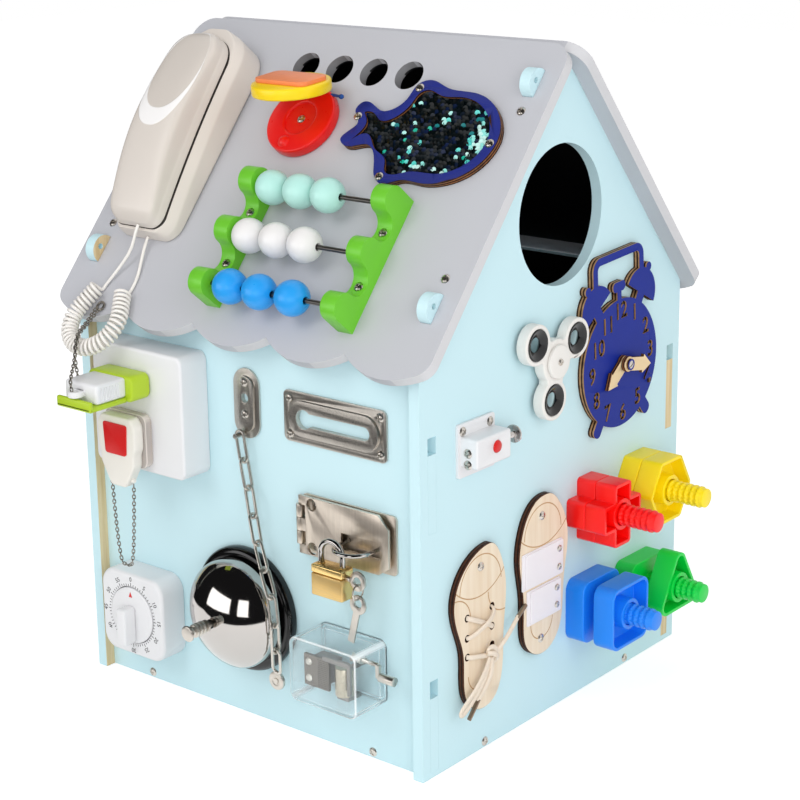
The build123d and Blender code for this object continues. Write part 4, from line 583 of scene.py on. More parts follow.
rings = []
for s in spread(handset_from, handset_to, 9):
    w = half_width(s, handset_from, handset_to, 48, 20, 10)
    low = cradle_top(s) + 0.8
    end = min(s - handset_from, handset_to - s)
    drop = 5.0 * max(0.0, 1 - end / 8) ** 2
    high = handset_top(s) - drop
    tall = high - low
    lip = min(5.6, 0.36 * tall)
    side = [
        (w - 1.0, low), (w - 0.2, low + 0.25), (w, low + 0.6), (w - 1.2, low + lip),
        (w - 1.7, low + lip + 0.5), (w - 2.2, high - 0.36 * tall), (w - 3.2, high - 0.12 * tall),
        (w - min(6.5, 0.3 * w), high - 0.03 * tall), (w - min(12.0, 0.52 * w), high + 0.2),
        (w * 0.25, high + 0.5)
    ]
    rings.append(both_sides(side, s))
handset = lofted("phone_handset_shell", rings)

# Where a point lies on the roof board: across it, down the slope and above it, in metres.
slope, net, into, outof = new_group("place_on_roof", {}, dict.fromkeys(("Across", "Down", "Above"), "Float"))
from_ridge = net.add("VectorMath", {0: net.place(), 1: ROOF.translation}, operation="SUBTRACT").outputs[0]
for socket, axis in (("Across", (1, 0, 0)), ("Down", (0, -run, -rise)), ("Above", (0, -rise, run))):
    net.feed(outof, {socket: net.dot(from_ridge, axis)})


def on_roof(net):
    return net.add("Group", node_tree=slope).outputs


def oval_mask(net, where, centre, half):
    parts = []
    for socket, middle, size in zip(("Across", "Down"), centre, half):
        off = net.math("DIVIDE", net.math("SUBTRACT", where[socket], middle * mm), size * mm)
        parts.append(net.math("POWER", net.math("ABSOLUTE", off), 2.3))
    return net.ramp(net.math("ADD", *parts), 1.04, 0.99)


def emboss(net, shader, strength, distance, height):
    under = shader["Normal"].links[0].from_socket
    step = net.add("Bump", {"Strength": strength, "Distance": distance, "Height": height, "Normal": under})
    net.feed(shader, {"Normal": step.outputs[0]})


phone_plastic = coat("phone_plastic", "#DCD4CC", rough=0.34, drift=0.06, size=18.0, skin=1400.0, bump=0.02)
net, shader, shell_tone = coat_parts(phone_plastic)
where = on_roof(net)
off_side = net.math("ABSOLUTE", net.math("SUBTRACT", where["Across"], phone_x * mm))
past_top = net.math("MAXIMUM", net.math("SUBTRACT", 0.056, where["Down"]), 0.0)
past_low = net.math("MAXIMUM", net.math("SUBTRACT", where["Down"], 0.170), 0.0)
# A dark band on the cradle top round the handset's foot: painted shade in the gap between them.
seam_shade = 1.0
for past, inset, corner in ((past_top, 0.004, 0.0201), (past_low, 0.014, 0.0101)):
    aside = net.math("MAXIMUM", net.math("SUBTRACT", off_side, inset), 0.0)
    apart = net.math("ADD", net.math("POWER", aside, 2.0), net.math("POWER", past, 2.0))
    seam_shade = net.math("MULTIPLY", seam_shade, net.math("LESS_THAN", apart, corner**2))
net.feed(shader, {"Base Color": net.mix(seam_shade, shell_tone, linear("#3A3633"))})
settle(cradle, ROOF, phone_plastic, "house", "phone_plastic", "phone_cradle", angle=60)
handset_plastic = coat(
    "handset_plastic", "#D6CEC6", rough=0.32, drift=0.06, size=18.0, skin=1400.0, bump=0.02
)
net, shader, shell_tone = coat_parts(handset_plastic)
where = on_roof(net)
upper = net.math("GREATER_THAN", where["Above"], 0.0345)
surround = net.math("MULTIPLY", oval_mask(net, where, (phone_x - 0.4, 77.5), (20.4, 40.0)), upper)
inlay = net.math("MULTIPLY", oval_mask(net, where, (phone_x + 0.5, 71.5), (18.7, 33.0)), upper)
ringed = net.mix(surround, shell_tone, linear("#F3F1F0"))
net.feed(shader, {"Base Color": net.mix(inlay, ringed, linear("#CFC7BF"))})
emboss(net, shader, 0.6, 0.0006, net.math("SUBTRACT", surround, net.math("MULTIPLY", inlay, 0.6)))
settle(handset, ROOF, handset_plastic, "handset", "phone_plastic", "phone_handset", angle=60)

# The curly cord: one 2.2 mm plastic lead from the handset back to the cradle. It runs down
# the roof, winds 36 tight curls round a hanging loop past the eave, and comes back up.
cord_plastic = coat("cord_plastic", "#F0ECE7", rough=0.38, drift=0.06, size=60.0, skin=2200.0, bump=0.03)
curl_r, loop_r, loop_x, loop_s, loop_half, loop_end = 5.0, 21.0, -112.0, 250.0, 12.5, 226.0
curls, steps, cord_r = 36, 12, 1.1
cord_h = curl_r + cord_r + 0.4
span = math.hypot(loop_half, loop_s - loop_end)
leg = math.sqrt(span**2 - loop_r**2)
away = math.atan2(loop_half, loop_s - loop_end) + math.acos(loop_r / span)
bend = loop_r * (math.tau - 2 * away)
loop_length = 2 * leg + bend


def along_loop(t):
    start = math.pi / 2 + away
    a = start + min(max(t - leg, 0), bend) / loop_r
    over = t - leg if t < leg else max(t - leg - bend, 0)
    way = Vector((-math.sin(a), math.cos(a), 0))
    return Vector((loop_x + loop_r * math.cos(a), loop_r * math.sin(a) - loop_s, cord_h)) + way * over, way


def curl_point(k):
    centre, way = along_loop(loop_length * k / (curls * steps))
    turn = math.tau * k / steps - math.pi / 2
    pull = curl_r * 4 / (3 + math.cos(math.tau / steps))
    out = way.cross(Vector((0, 0, 1))) * (pull * math.cos(turn))
    return centre + out + Vector((0, 0, pull * math.sin(turn)))


def nurbs(name, route, between):
    curve = bpy.data.curves.new(name, "CURVE")
    curve.dimensions = "3D"
    line = curve.splines.new("NURBS")
    line.points.add(len(route) - 1)
    for point, place in zip(line.points, route):
        point.co = (*place, 1)
    line.order_u = 3
    line.use_endpoint_u = True
    line.resolution_u = between
    return new_piece(name, curve)


handset_exit = Vector((-103.5, -180.4, 18.0))
cradle_exit = Vector((-103.5, -182.4, 5.0))
leaving = Vector((0, -3, 0))
route = [handset_exit, handset_exit + leaving]
route += [Vector(p) for p in ((-109, -196, 8.0), (-118.5, -211, 3.0), (-124.0, -222, 1.4))]
route += [curl_point(k) for k in range(curls * steps + 1)]
route += [Vector(p) for p in ((-98.0, -221, 1.6), (-98.5, -211, 1.5), (-102.0, -197, 3.0))]
route += [cradle_exit + leaving, cradle_exit]
curly_cord = nurbs("curly_cord", [ROOF @ p for p in route], 3)
curly_cord.data.bevel_depth = cord_r * mm
curly_cord.data.bevel_resolution = 2
curly_cord.data.use_fill_caps = True
curly_cord.data.materials.append(cord_plastic)
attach(curly_cord, "house")
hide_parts("phone_cord")

# The castanet: two turned beech discs in gloss paint, the lower one red with a stepped
# face and a ball nub, the upper one yellow with a glued plaque, tied by blue elastic.


def soften(obj, ease, segments=3, sharp=40.0):
    pick(obj)
    soft = obj.modifiers.new("ease", "BEVEL")
    soft.width = ease
    soft.segments = segments
    soft.limit_method = "ANGLE"
    soft.angle_limit = math.radians(sharp)
    bpy.ops.object.modifier_apply(modifier=soft.name)
    return obj


def board(name, wide, tall, corner, thick, ease=0.5, at=(0, 0, 0), steps=6):
    bpy.ops.object.select_all(action="DESELECT")
    bpy.ops.mesh.primitive_plane_add(size=1.0)
    obj = bpy.context.object
    obj.name = name
    open_mesh(obj)
    bpy.ops.transform.resize(value=(wide, tall, 1))
    if corner:
        bpy.ops.mesh.bevel(offset=corner, offset_type="OFFSET", segments=steps, affect="VERTICES")
    bpy.ops.mesh.select_all(action="SELECT")
    bpy.ops.mesh.extrude_region_move(TRANSFORM_OT_translate={"value": (0, 0, thick)})
    bpy.ops.mesh.select_all(action="SELECT")
    bpy.ops.mesh.normals_make_consistent(inside=False)
    bpy.ops.transform.translate(value=at)
    close_mesh()
    return soften(obj, ease) if ease else obj


castanet_red = coat("castanet_red", "#E40F0C", rough=0.3, drift=0.1, size=40.0, skin=500.0, bump=0.05)
low_disc = turned(
    "castanet_low_disc",
    (
        (0, 6.0), (11.7, 6.0), (12.3, 6.15), (12.7, 7.4), (13.3, 7.9), (14.1, 8.0), (25.4, 8.0), (26.4, 7.7),
        (26.9, 6.9), (27.0, 6.2), (27.0, 1.4), (26.6, 0.4), (25.8, 0.0), (0, 0.0)
    ),
    96
)
low_disc.matrix_world = place_at(castanet_x, castanet_y)
nub = turned(
    "castanet_nub", ((0, 3.0), (1.5, 2.75), (2.8, 2.1), (3.8, 1.1), (4.2, 0.4), (4.8, -0.1), (0, -1.0)), 32
)
nub.matrix_world = place_at(-22.9, -97.8, 8)
settle(join(low_disc, nub), ROOF, castanet_red, "house", "castanet_red", "castanet_lower", angle=50)
castanet_yellow = coat("castanet_yellow", "#FAD60F", rough=0.3, drift=0.1, size=40.0, skin=500.0, bump=0.05)
hinged = place_at(-16.4, -51.5, 8.4) @ spun(-44, "X")
high_disc = turned(
    "castanet_high_disc",
    ((0, 0), (25.8, 0.0), (26.6, 0.4), (27.0, 1.4), (27.0, 6.6), (26.6, 7.6), (25.8, 8.0), (0, 8.0)), 96
)
high_disc.matrix_world = place_at(0, -27)
settle(
    high_disc, ROOF @ hinged, castanet_yellow, "castanet_lid", "castanet_yellow", "castanet_upper", angle=50
)
plaque = board("castanet_plaque", 46, 27, 6, 3, 0.5, (0, -27, 8.02))
plaque_orange = coat("plaque_orange", "#F28A52", drift=0.3, size=70.0, skin=600.0, bump=0.06)
settle(plaque, ROOF @ hinged, plaque_orange, "castanet_lid", "castanet_yellow", angle=50)
elastic_blue = coat("elastic_blue", "#174A94", rough=0.55, drift=0.3, size=400.0, skin=2500.0, bump=0.3)
ties = []
for x in (-27, -11):
    tie = turned(
        "elastic_tie",
        ((0, 1.5), (0.9, 1.55), (1.4, 2.0), (1.5, 2.6), (1.5, 5.4), (1.4, 6.0), (0.9, 6.45), (0, 6.5)), 16
    )
    tie.matrix_world = place_at(x, -50.9)
    ties.append(tie)
stub = turned(
    "elastic_end",
    ((0, 0), (1.0, 0), (1.0, 7.6), (1.5, 8.2), (1.75, 9.2), (1.5, 10.2), (0.8, 10.8), (0, 10.9)), 20
)
stub.matrix_world = place_at(-2.5, -58.0, 6.9) @ spun(-4, "Z") @ spun(90, "Y")
ties.append(stub)
settle(join(*ties), ROOF, elastic_blue, "house", "castanet_red", angle=60)

# The whale: a frame sawn by laser from 5 mm plywood, blue paint on its face and burnt
# brown on its edges, screwed down over a patch of sequin cloth.


def shaped_from(node, name, ease=0.0, segments=2, sharp=40.0):
    obj = new_piece(name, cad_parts[node].data.copy())
    open_mesh(obj)
    bpy.ops.mesh.remove_doubles(threshold=0.000004)
    bpy.ops.mesh.dissolve_limited(angle_limit=math.radians(1.5))
    close_mesh()
    return soften(obj, ease * mm, segments, sharp) if ease else obj


def recast(node, name, ease, segments, sharp, material, body, slot, angle=40):
    shape = shaped_from(node, name, ease, segments, sharp)
    return settle(shape, AS_CAD, material, body, slot, node, angle=angle)


def cut_ply(name, code, axis, layers, rough=0.45, burn="#8A5C3C"):
    material = coat(name, code, rough=rough, drift=0.12, size=60.0, bump=0.08, spec=0.15)
    net, shader, face_tone = coat_parts(material)
    spot = net.place()
    ply_line = net.math("SINE", net.math("MULTIPLY", net.dot(spot, axis), layers))
    scorched = net.math("ADD", net.math("MULTIPLY", ply_line, 0.5), net.noise(spot, 220.0, 4.0))
    edge_tone = net.mix(net.ramp(scorched, 0.25, 1.0), linear("#26130C"), linear(burn))
    on_edge = net.math("LESS_THAN", net.dot(net.facing(), axis), 0.8)
    net.feed(shader, {"Base Color": net.mix(on_edge, face_tone, edge_tone)})
    return material


roof_up = (0, -rise, run)
whale_ply = cut_ply("whale_ply", "#252F80", roof_up, 3100.0)
recast("whale_frame", "whale_cut_frame", 0.35, 2, 30.0, whale_ply, "house", "ply_blue")

# The sequin cloth: black cloth with rows of small dished scales that overlap, most of them
# dark teal, some with a painted glint as if turned to the light, and a bright cluster of
# painted glints at the lower right.
whale_hollow = (
    (31, 88), (43, 84), (52, 93), (65, 101), (69, 109), (77, 110.5), (86, 107.5), (110, 106), (127, 98),
    (135, 87), (136, 74), (130, 62), (119, 53), (103, 49), (85, 49), (74, 46), (68, 49), (65, 58), (46, 72),
    (36, 66.5), (31, 67), (36, 78)
)


def within(outline, u, v):
    odd = False
    for (u0, v0), (u1, v1) in zip(outline, outline[1:] + outline[:1]):
        if (v0 > v) != (v1 > v) and u < u0 + (u1 - u0) * (v - v0) / (v1 - v0):
            odd = not odd
    return odd


shuffle = random.Random(7)
scale_r, scale_dish, scale_sides, scale_h = 2.1, 0.28, 10, 2.35
scale = [Vector((0, 0, 0))]
for k in range(scale_sides):
    a = k * math.tau / scale_sides
    scale.append(Vector((scale_r * math.cos(a), scale_r * math.sin(a), scale_dish)))
points, faces, glints = [], [], []
for row in range(26):
    for col in range(40):
        u = 30 + col * 3.1 + (row % 2) * 1.55 + shuffle.uniform(-0.35, 0.35)
        v = 45 + row * 2.6 + shuffle.uniform(-0.3, 0.3)
        if not within(whale_hollow, u, v):
            continue
        at_head = math.hypot((u - 128) / 7, (v - 79) / 16) < 1
        at_belly = math.hypot((u - 100) / 30, (v - 103) / 5) < 1
        cluster = at_head or at_belly and shuffle.random() < 0.35
        # A painted glint: brightness painted into a sequin's colour where it would catch the light.
        if shuffle.random() < (0.55 if cluster else 0.05):
            glint = shuffle.choice((0.75, 0.9, 1.0) if cluster else (0.45, 0.6, 0.8, 0.95))
        else:
            glint = shuffle.random() * 0.28
        lean = Matrix.Rotation(shuffle.uniform(-0.22, 0.22), 4, "X")
        lean = lean @ Matrix.Rotation(shuffle.uniform(-0.22, 0.22), 4, "Y")
        tilt = Matrix.Rotation(0.34 + shuffle.uniform(-0.1, 0.1), 4, "X")
        first = len(points)
        for p in scale:
            q = lean @ tilt @ p
            points.append((u + q.x, -v + q.y, scale_h + q.z))
            glints.append(glint)
        rim = [first + 1 + k for k in range(scale_sides)]
        faces += [(first, a, b) for a, b in zip(rim, rim[1:] + rim[:1])]
scales = meshed("sequin_scales", points, faces)
scales.data.attributes.new("glint", "FLOAT", "POINT").data.foreach_set("value", glints)
sequin_film, net, shader = principled("sequin_film")
film = net.add("ValToRGB", {"Fac": net.add("Attribute", attribute_name="glint").outputs["Fac"]})
# The ramp runs from unlit dark teal to pale cyan: the upper stops are painted glints, reflected light painted
# into the colour.
stops = (
    (0.0, "#010405"), (0.14, "#02090C"), (0.22, "#030F17"), (0.28, "#071B45"), (0.4, "#1238A0"),
    (0.5, "#12A860"), (0.68, "#1FCBC4"), (0.85, "#7DF2E8"), (1.0, "#D2FFF8")
)
for position, _ in stops[1:-1]:
    film.color_ramp.elements.new(position)
for element, (position, code) in zip(film.color_ramp.elements, stops):
    element.position = position
    element.color = linear(code)
speckle = net.noise(net.place(), 900.0)
tone = net.mix(net.math("MULTIPLY", speckle, 0.3), film.outputs["Color"], linear("#04161A"))
rough = net.math("ADD", net.math("MULTIPLY", speckle, 0.25), 0.2)
net.feed(shader, {"Base Color": tone, "Roughness": rough, "Specular IOR Level": 0.25})
settle(scales, ROOF, sequin_film, "house", "sequins", angle=30)
backing = shaped_from("sequin_panel", "sequin_cloth")
backing_cloth = coat("sequin_backing", "#050B0E", rough=0.8, drift=0.5, size=300.0, skin=1500.0, bump=0.3)
settle(backing, AS_CAD, backing_cloth, "house", "sequins", "sequin_panel")

# The abacus: two lobed green brackets screwed to the roof, three steel rods between them
# and nine turned beads, three to a rod, that slide along it.
abacus_green = coat("abacus_green", "#6CC42C", rough=0.36, size=30.0, skin=800.0)
net, shader, green_tone = coat_parts(abacus_green)
from_middle = net.math("ABSOLUTE", net.math("SUBTRACT", on_roof(net)["Across"], 0.03525))
on_rod = net.math("LESS_THAN", from_middle, 0.0507)
net.feed(shader, {"Base Color": net.mix(on_rod, green_tone, linear("#6E6A66")), "Metallic": on_rod})
recast("abacus_frame", "abacus_brackets", 1.6, 3, 50.0, abacus_green, "house", "abacus_green")
bead_profile = [(2.3, -8.0), (2.3, -11.0), (2.8, -11.45)]
for i in range(23):
    a = math.radians(-74 + 148 * i / 22)
    bead_profile.append((11.8 * math.cos(a), 11.8 * math.sin(a)))
bead_profile += [(2.8, 11.45), (2.3, 11.0), (2.3, 8.0)]
for colour, code, body, s, places in (
    ("mint", "#B4E3DA", "mint_row", 137.5, (-3.6, 20.4, 44.4)),
    ("white", "#E6E4E3", "white_row", 174.5, (-3.6, 20.4, 44.9)),
    ("blue", "#219AE8", "blue_row", 212.0, (0.9, 26.7, 55.0)),
):
    bead_gloss = coat("bead_" + colour, code, rough=0.3, drift=0.06, size=60.0, skin=700.0)
    row = []
    for x in places:
        bead = turned(colour + "_bead", bead_profile, 48)
        bead.matrix_world = place_at(x, -s, 17) @ spun(90, "Y")
        row.append(bead)
    row = join(*row)
    row.name = colour + "_bead_row"
    settle(row, ROOF, bead_gloss, body, "bead_" + colour, colour + "_beads", angle=40)

# The socket box: a white moulded shell screwed to the front wall, with eased corners. Two
# toy plugs stand in it on brass pins.
white_plastic = coat("white_plastic", "#E4E4E6", rough=0.32, drift=0.04, size=20.0, bump=0.03)
recast("socket_box", "socket_box_shell", 1.2, 3, 50.0, white_plastic, "house", "white_plastic")

# The green plug: a lime flange with a tray and an upturned lip, and a ribbed white grip
# lying in the tray, with a round eye at its tip for the chain.
green_u, green_v, red_u, red_v = -86.5, 231.5, -85.5, 192.0
lime_plastic = coat("lime_plastic", "#AFCB28", rough=0.34, size=40.0)
flange = board("plug_flange", 43, 18, 5, 17, 1.8, (green_u, green_v, 25.4))
tray = eased_block("plug_tray", (33, 3.5, 33.2), (green_u, 224.25, 58.6), 1.4)
lip = eased_block("plug_lip", (33, 7.4, 3.2), (green_u, 226.2, 73.6), 1.3)
settle(join(flange, tray, lip), FRONT, lime_plastic, "plug_green", "lime_plastic", "green_plug", angle=40)
grip = eased_block("plug_grip", (31, 13.6, 26.6), (green_u, 232.9, 54.9), 2.2, 4)
for side in (-1, 1):
    for i in range(7):
        carve(
            grip,
            eased_block("rib_cut", (1.6, 9.5, 1.3), (green_u + side * 15.6, 232.5, 49 + i * 2.5), 0.5, 2)
        )
eye_tab = turned(
    "plug_eye",
    (
        (3.0, -2.0), (5.0, -2.0), (5.6, -1.4), (5.6, 1.4), (5.0, 2.0), (3.0, 2.0), (2.7, 1.5), (2.7, -1.5),
        (3.0, -2.0)
    ),
    32
)
eye_tab.matrix_world = place_at(green_u, 233, 72.4) @ spun(90, "X")
neck = eased_block("plug_neck", (8.5, 4.0, 3.0), (green_u, 233, 68.6), 0.7)
settle(join(grip, eye_tab, neck), FRONT, white_plastic, "plug_green", "white_plastic", angle=40)
brass = coat(
    "brass", "#C79A3C", rough=0.3, drift=0.2, size=80.0, skin=1200.0, bump=0.05, rough_drift=0.25,
    metallic=1.0
)
for body, u, v in (("plug_green", green_u, green_v), ("plug_red", red_u, red_v)):
    blades = [
        eased_block(body + "_pin", (1.6, 6.0, 15.0), (u + side * 9, v, 17.95), 0.3, 1) for side in (-1, 1)
    ]
    settle(join(*blades), FRONT, brass, body, "brass")

# The red plug: an off-white shell with a narrow foot and a red printed panel, on a clear
# back plate through which the brass pins show.
plug_face = (
    (-18, 12), (-18, -4), (-16, -8), (-16, -16), (-10, -27), (-7, -32), (7, -32), (10, -27), (16, -16),
    (16, -8), (18, -4), (18, 12), (14, 18), (-14, 18)
)


def cut_out(name, outline, thick, ease, at, corner=0.0):
    obj = meshed(name, [(u, v, 0) for u, v in outline], [tuple(range(len(outline)))])
    open_mesh(obj)
    if corner:
        bpy.ops.mesh.bevel(offset=corner, offset_type="OFFSET", segments=4, affect="VERTICES")
        bpy.ops.mesh.select_all(action="SELECT")
    bpy.ops.mesh.extrude_region_move(TRANSFORM_OT_translate={"value": (0, 0, thick)})
    bpy.ops.mesh.select_all(action="SELECT")
    bpy.ops.mesh.normals_make_consistent(inside=False)
    bpy.ops.transform.translate(value=at)
    close_mesh()
    return soften(obj, ease) if ease else obj


cream_plastic = coat("cream_plastic", "#E8E4DC", rough=0.36, drift=0.05, size=40.0, bump=0.03)
shell = cut_out("plug_shell", plug_face, 9.0, 1.6, (red_u, red_v, 31.4), 2.0)
bar = turned("plug_bar", ((0, -12), (1.3, -12), (1.6, -11.6), (1.6, 11.6), (1.3, 12), (0, 12)), 20)
bar.matrix_world = place_at(red_u, 165, 35.9) @ spun(90, "Y")
settle(join(shell, bar), FRONT, cream_plastic, "plug_red", "white_plastic", "red_plug", angle=40)
red_panel = cut_out(
    "plug_red_panel", ((-10, -11), (10, -11), (11.5, 11), (-11.5, 11)), 1.0, 0.3, (red_u, 194, 40.35), 2.0
)
red_gloss = coat("red_gloss", "#D0100F", rough=0.3, drift=0.1, size=60.0, bump=0.05)
settle(red_panel, FRONT, red_gloss, "plug_red", "red_plastic", angle=40)


def clear_plastic(name, code, rough, haze, through):
    material, net, shader = principled(name)
    dull = net.noise(net.place(), 60.0)
    # Eased edges, off the three main axes, are made less clear so the pale tint shows there: a painted
    # highlight along the edges.
    flat = 0.0
    for part in net.axes(net.facing()):
        flat = net.math("MAXIMUM", flat, net.math("ABSOLUTE", part))
    net.feed(shader, {
        "Base Color": net.mix(net.math("MULTIPLY", dull, 0.1), linear(code), linear("#F4F8F9")),
        "Roughness": net.math("ADD", net.math("MULTIPLY", dull, haze), rough),
        "Transmission Weight": net.ramp(flat, 0.995, 0.80, through, through * 0.45),
        "IOR": 1.06,
        "Coat Weight": 0.6,
        "Coat Roughness": 0.05,
    })
    return material


clear_back = clear_plastic("clear_back", "#EFE6DF", 0.1, 0.15, 0.6)
back_plate = board("plug_back_plate", 40, 38, 6, 6, 0.8, (red_u, red_v, 25.4))
settle(back_plate, FRONT, clear_back, "plug_red", "clear", angle=40)

# The plug chains: fine steel chain of oval links. Two strands hang from a screw eye under
# the eave to the green plug's eye, and one loop hangs from the red plug's bar.
chain_steel = coat(
    "chain_steel", "#A9A39B", rough=0.25, drift=0.3, size=300.0, skin=2500.0, bump=0.05, rough_drift=0.25,
    metallic=1.0
)


def chain_link(long, wide, wire, around=12, thick=5):
    points, faces = [], []
    for i in range(around):
        a = math.tau * i / around
        way = Vector((math.cos(a), math.sin(a), 0))
        straight = math.copysign(long - wide, way.x) / 2 if abs(way.x) > 0.01 else 0
        middle = way * (wide / 2 - wire) + Vector((straight, 0, 0))
        here, ahead = i * thick, (i + 1) % around * thick
        for j in range(thick):
            b = math.tau * j / thick
            k = (j + 1) % thick
            points.append(middle + way * (wire * math.cos(b)) + Vector((0, 0, wire * math.sin(b))))
            faces.append((ahead + j, ahead + k, here + k, here + j))
    return points, faces


def spline_of(name, route):
    holder = nurbs(name, route, 24)
    path = [vert.co.copy() for vert in bpy.data.meshes.new_from_object(holder).vertices]
    bpy.data.objects.remove(holder)
    return path


def on(seat, *points):
    return [seat @ Vector(p) for p in points]


fine_link, fine_pitch, fine_wide = chain_link(4.0, 2.7, 0.42), 2.55, 0.0026


def fine_chain(name, path):
    points, faces = [], []
    steps = [0.0]
    for a, b in zip(path, path[1:]):
        steps.append(steps[-1] + (b - a).length)
    count = math.ceil(steps[-1] / (fine_pitch * mm))
    side = Vector((1, 0, 0))
    for n in range(count):
        t = steps[-1] * (n + 0.5) / count
        k = max(i for i in range(len(steps) - 1) if steps[i] <= t)
        way = (path[k + 1] - path[k]).normalized()
        middle = path[k] + way * (t - steps[k])
        side = (side - way * side.dot(way)).normalized()
        over = way.cross(side)
        turn = math.radians(45 if n % 2 else -45)
        u = side * math.cos(turn) + over * math.sin(turn)
        v = over * math.cos(turn) - side * math.sin(turn)
        first = len(points)
        points += [middle + (way * p.x + u * p.y + v * p.z) * mm for p in fine_link[0]]
        faces += [tuple(first + i for i in face) for face in fine_link[1]]
    strand = meshed(name, points, faces)
    strand.data.materials.append(chain_steel)
    pick(strand)
    bpy.ops.object.shade_smooth()
    return strand


wire_turns = [math.tau * i / 10 for i in range(11)]
eye_ring = turned("screw_eye", [(3.0 + 0.9 * math.cos(a), 0.9 * math.sin(a)) for a in wire_turns], 28)
eye_ring.matrix_world = place_at(-119, -237.5, 1.3)
settle(eye_ring, ROOF, chain_steel, "house", "chain_steel", "upper_chain", angle=60)
strand_a = on(ROOF, (-119, -240.6, 2.0), (-116, -252, 6), (-110, -264, 15.5), (-106, -273, 16.5))
strand_a += on(FRONT, (-97, 248, 64), (-90, 243, 73), (-87, 239.5, 76), (-86.5, 235.2, 75.5))
strand_b = on(ROOF, (-121.5, -240.2, 2.0), (-118.5, -252, 6), (-111.5, -264, 15.5), (-107.5, -273, 16.5))
strand_b += on(FRONT, (-104.6, 250, 56), (-103.9, 236, 54.4))
for name, route in (("green_plug_chain", strand_a), ("grip_chain", strand_b)):
    path = spline_of(name, route)
    strand = fine_chain(name, path)
    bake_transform(strand)
loop_route = on(
    FRONT, (-96.2, 162.1, 35.9), (-93.3, 104, 35.9), (-85.5, 101.0, 35.9), (-77.7, 104, 35.9),
    (-74.8, 162.1, 35.9)
)
path = spline_of("red_plug_chain", loop_route)
loop = fine_chain("red_plug_chain", path)
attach(loop, "plug_red")
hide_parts("lower_chain")

# The door chain: a pressed anchor plate, a slotted keeper plate and nine welded oval links
# of nickel-plated steel that hang from a rivet and end in a button.
recast("chain_plates", "door_chain_plates", 0.5, 3, 50.0, nickel, "house", "nickel")


def loose_parts(obj):
    open_mesh(obj)
    bpy.ops.mesh.separate(type="LOOSE")
    close_mesh()
    return list(bpy.context.selected_objects)


def reach(obj, axis):
    values = [vert.co[axis] for vert in obj.data.vertices]
    return min(values), max(values)


link_parts = loose_parts(shaped_from("door_chain", "door_chain_link"))
link_parts.sort(key=lambda part: reach(part, 2)[0])
middle = [sum(reach(link_parts[0], axis)) / 2 for axis in range(3)]
bpy.data.objects.remove(link_parts.pop(0))
door_links = join(*link_parts)
door_links.name = "door_chain_links"
settle(door_links, AS_CAD, nickel, "chain", "nickel", "door_chain", angle=60)
button = turned(
    "door_chain_button",
    (
        (0, -1.5), (5.6, -1.5), (6.3, -1.1), (6.5, -0.5), (6.5, 0.5), (6.3, 1.1), (5.6, 1.5), (3.4, 1.5),
        (3.0, 1.15), (2.2, 1.15), (1.9, 1.9), (0, 2.0)
    ),
    40
)
off_wall = Matrix.Translation((0, 0.142, 0))
settle(button, Matrix.Translation(middle) @ off_wall @ FRONT, nickel, "chain", "nickel", angle=35)
hang = on(
    FRONT, (-2.5, 205.3, 6), (3, 180, 7), (8.5, 161, 8.5), (14.5, 142.5, 12), (25, 126, 18), (37.5, 109, 23),
    (43, 89, 26), (42.5, 68, 25), (39, 54, 20.5)
)
path = spline_of("door_chain_line", hang)

# The hasp: a base leaf with a chrome staple screwed to the wall, and a slotted strap of
# brushed nickel plate hinged at its left edge, which drops over the staple.


def brushed(name, code, rough, along):
    material = coat(
        name, code, rough=rough, drift=0.25, size=60.0, skin=2500.0, bump=0.03, rough_drift=0.2, metallic=1.0
    )
    net, shader, tone = coat_parts(material)
    hair = net.noise(net.stretched(net.place(), along), 900.0, 4.0, 0.7)
    net.feed(shader, {"Base Color": net.mix(net.math("MULTIPLY", hair, 0.55), tone, linear("#AFA294"))})
    emboss(net, shader, 0.1, 0.0003, hair)
    return material


chrome = coat(
    "chrome", "#C2BDB9", rough=0.07, drift=0.06, size=30.0, skin=2500.0, bump=0.01, rough_drift=0.08,
    metallic=1.0
)
plate_nickel = brushed("plate_nickel", "#F4E7D8", 0.36, (1.0, 1.0, 0.05))

base_parts = loose_parts(shaped_from("hasp_base", "hasp_base_part", 0.25))
staple = min(base_parts, key=lambda part: reach(part, 1)[0])
base_parts.remove(staple)
staple.name = "hasp_staple"
open_mesh(staple)
bpy.ops.transform.shrink_fatten(value=-0.2 * mm)
close_mesh()
settle(staple, AS_CAD, chrome, "house", "nickel", angle=60)
leaf = join(*base_parts)
leaf.name = "hasp_leaf"
settle(leaf, AS_CAD, plate_nickel, "house", "nickel", "hasp_base", angle=40)
recast("hasp_strap", "hasp_slotted_strap", 0.35, 2, 40.0, plate_nickel, "strap", "nickel")

# The padlock: a drawn brass body with a polished top band and a chrome shackle. Its key
# stands in the side, and a spare key hangs from that by a split ring.
lock_parts = loose_parts(shaped_from("padlock", "padlock_part"))
lock_parts.sort(key=lambda part: reach(part, 2)[0])
bpy.data.objects.remove(lock_parts[0])
shackle = lock_parts[1]
shackle.name = "padlock_shackle"
settle(shackle, AS_CAD, chrome, "lock", "chrome", "padlock", angle=60)
lock_u, lock_w = 89, 20
lock_body = eased_block("padlock_body", (26, 15.2, 12), (lock_u, 124.4, lock_w), 1.1, 3)
band = eased_block("padlock_band", (26, 5.6, 12), (lock_u, 135.0, lock_w), 1.1, 3)
lock_brass = brushed("lock_brass", "#FFD580", 0.38, (0.06, 1.0, 1.0))
band_brass = coat(
    "band_brass", "#FFDB92", rough=0.28, drift=0.15, size=120.0, skin=1500.0, bump=0.03, rough_drift=0.2,
    metallic=1.0
)
settle(lock_body, FRONT, lock_brass, "lock", "brass", angle=40)
collar_profile = ((2.0, 137.5), (2.7, 137.5), (2.7, 138.1), (2.4, 138.4), (2.0, 138.4))
collars = []
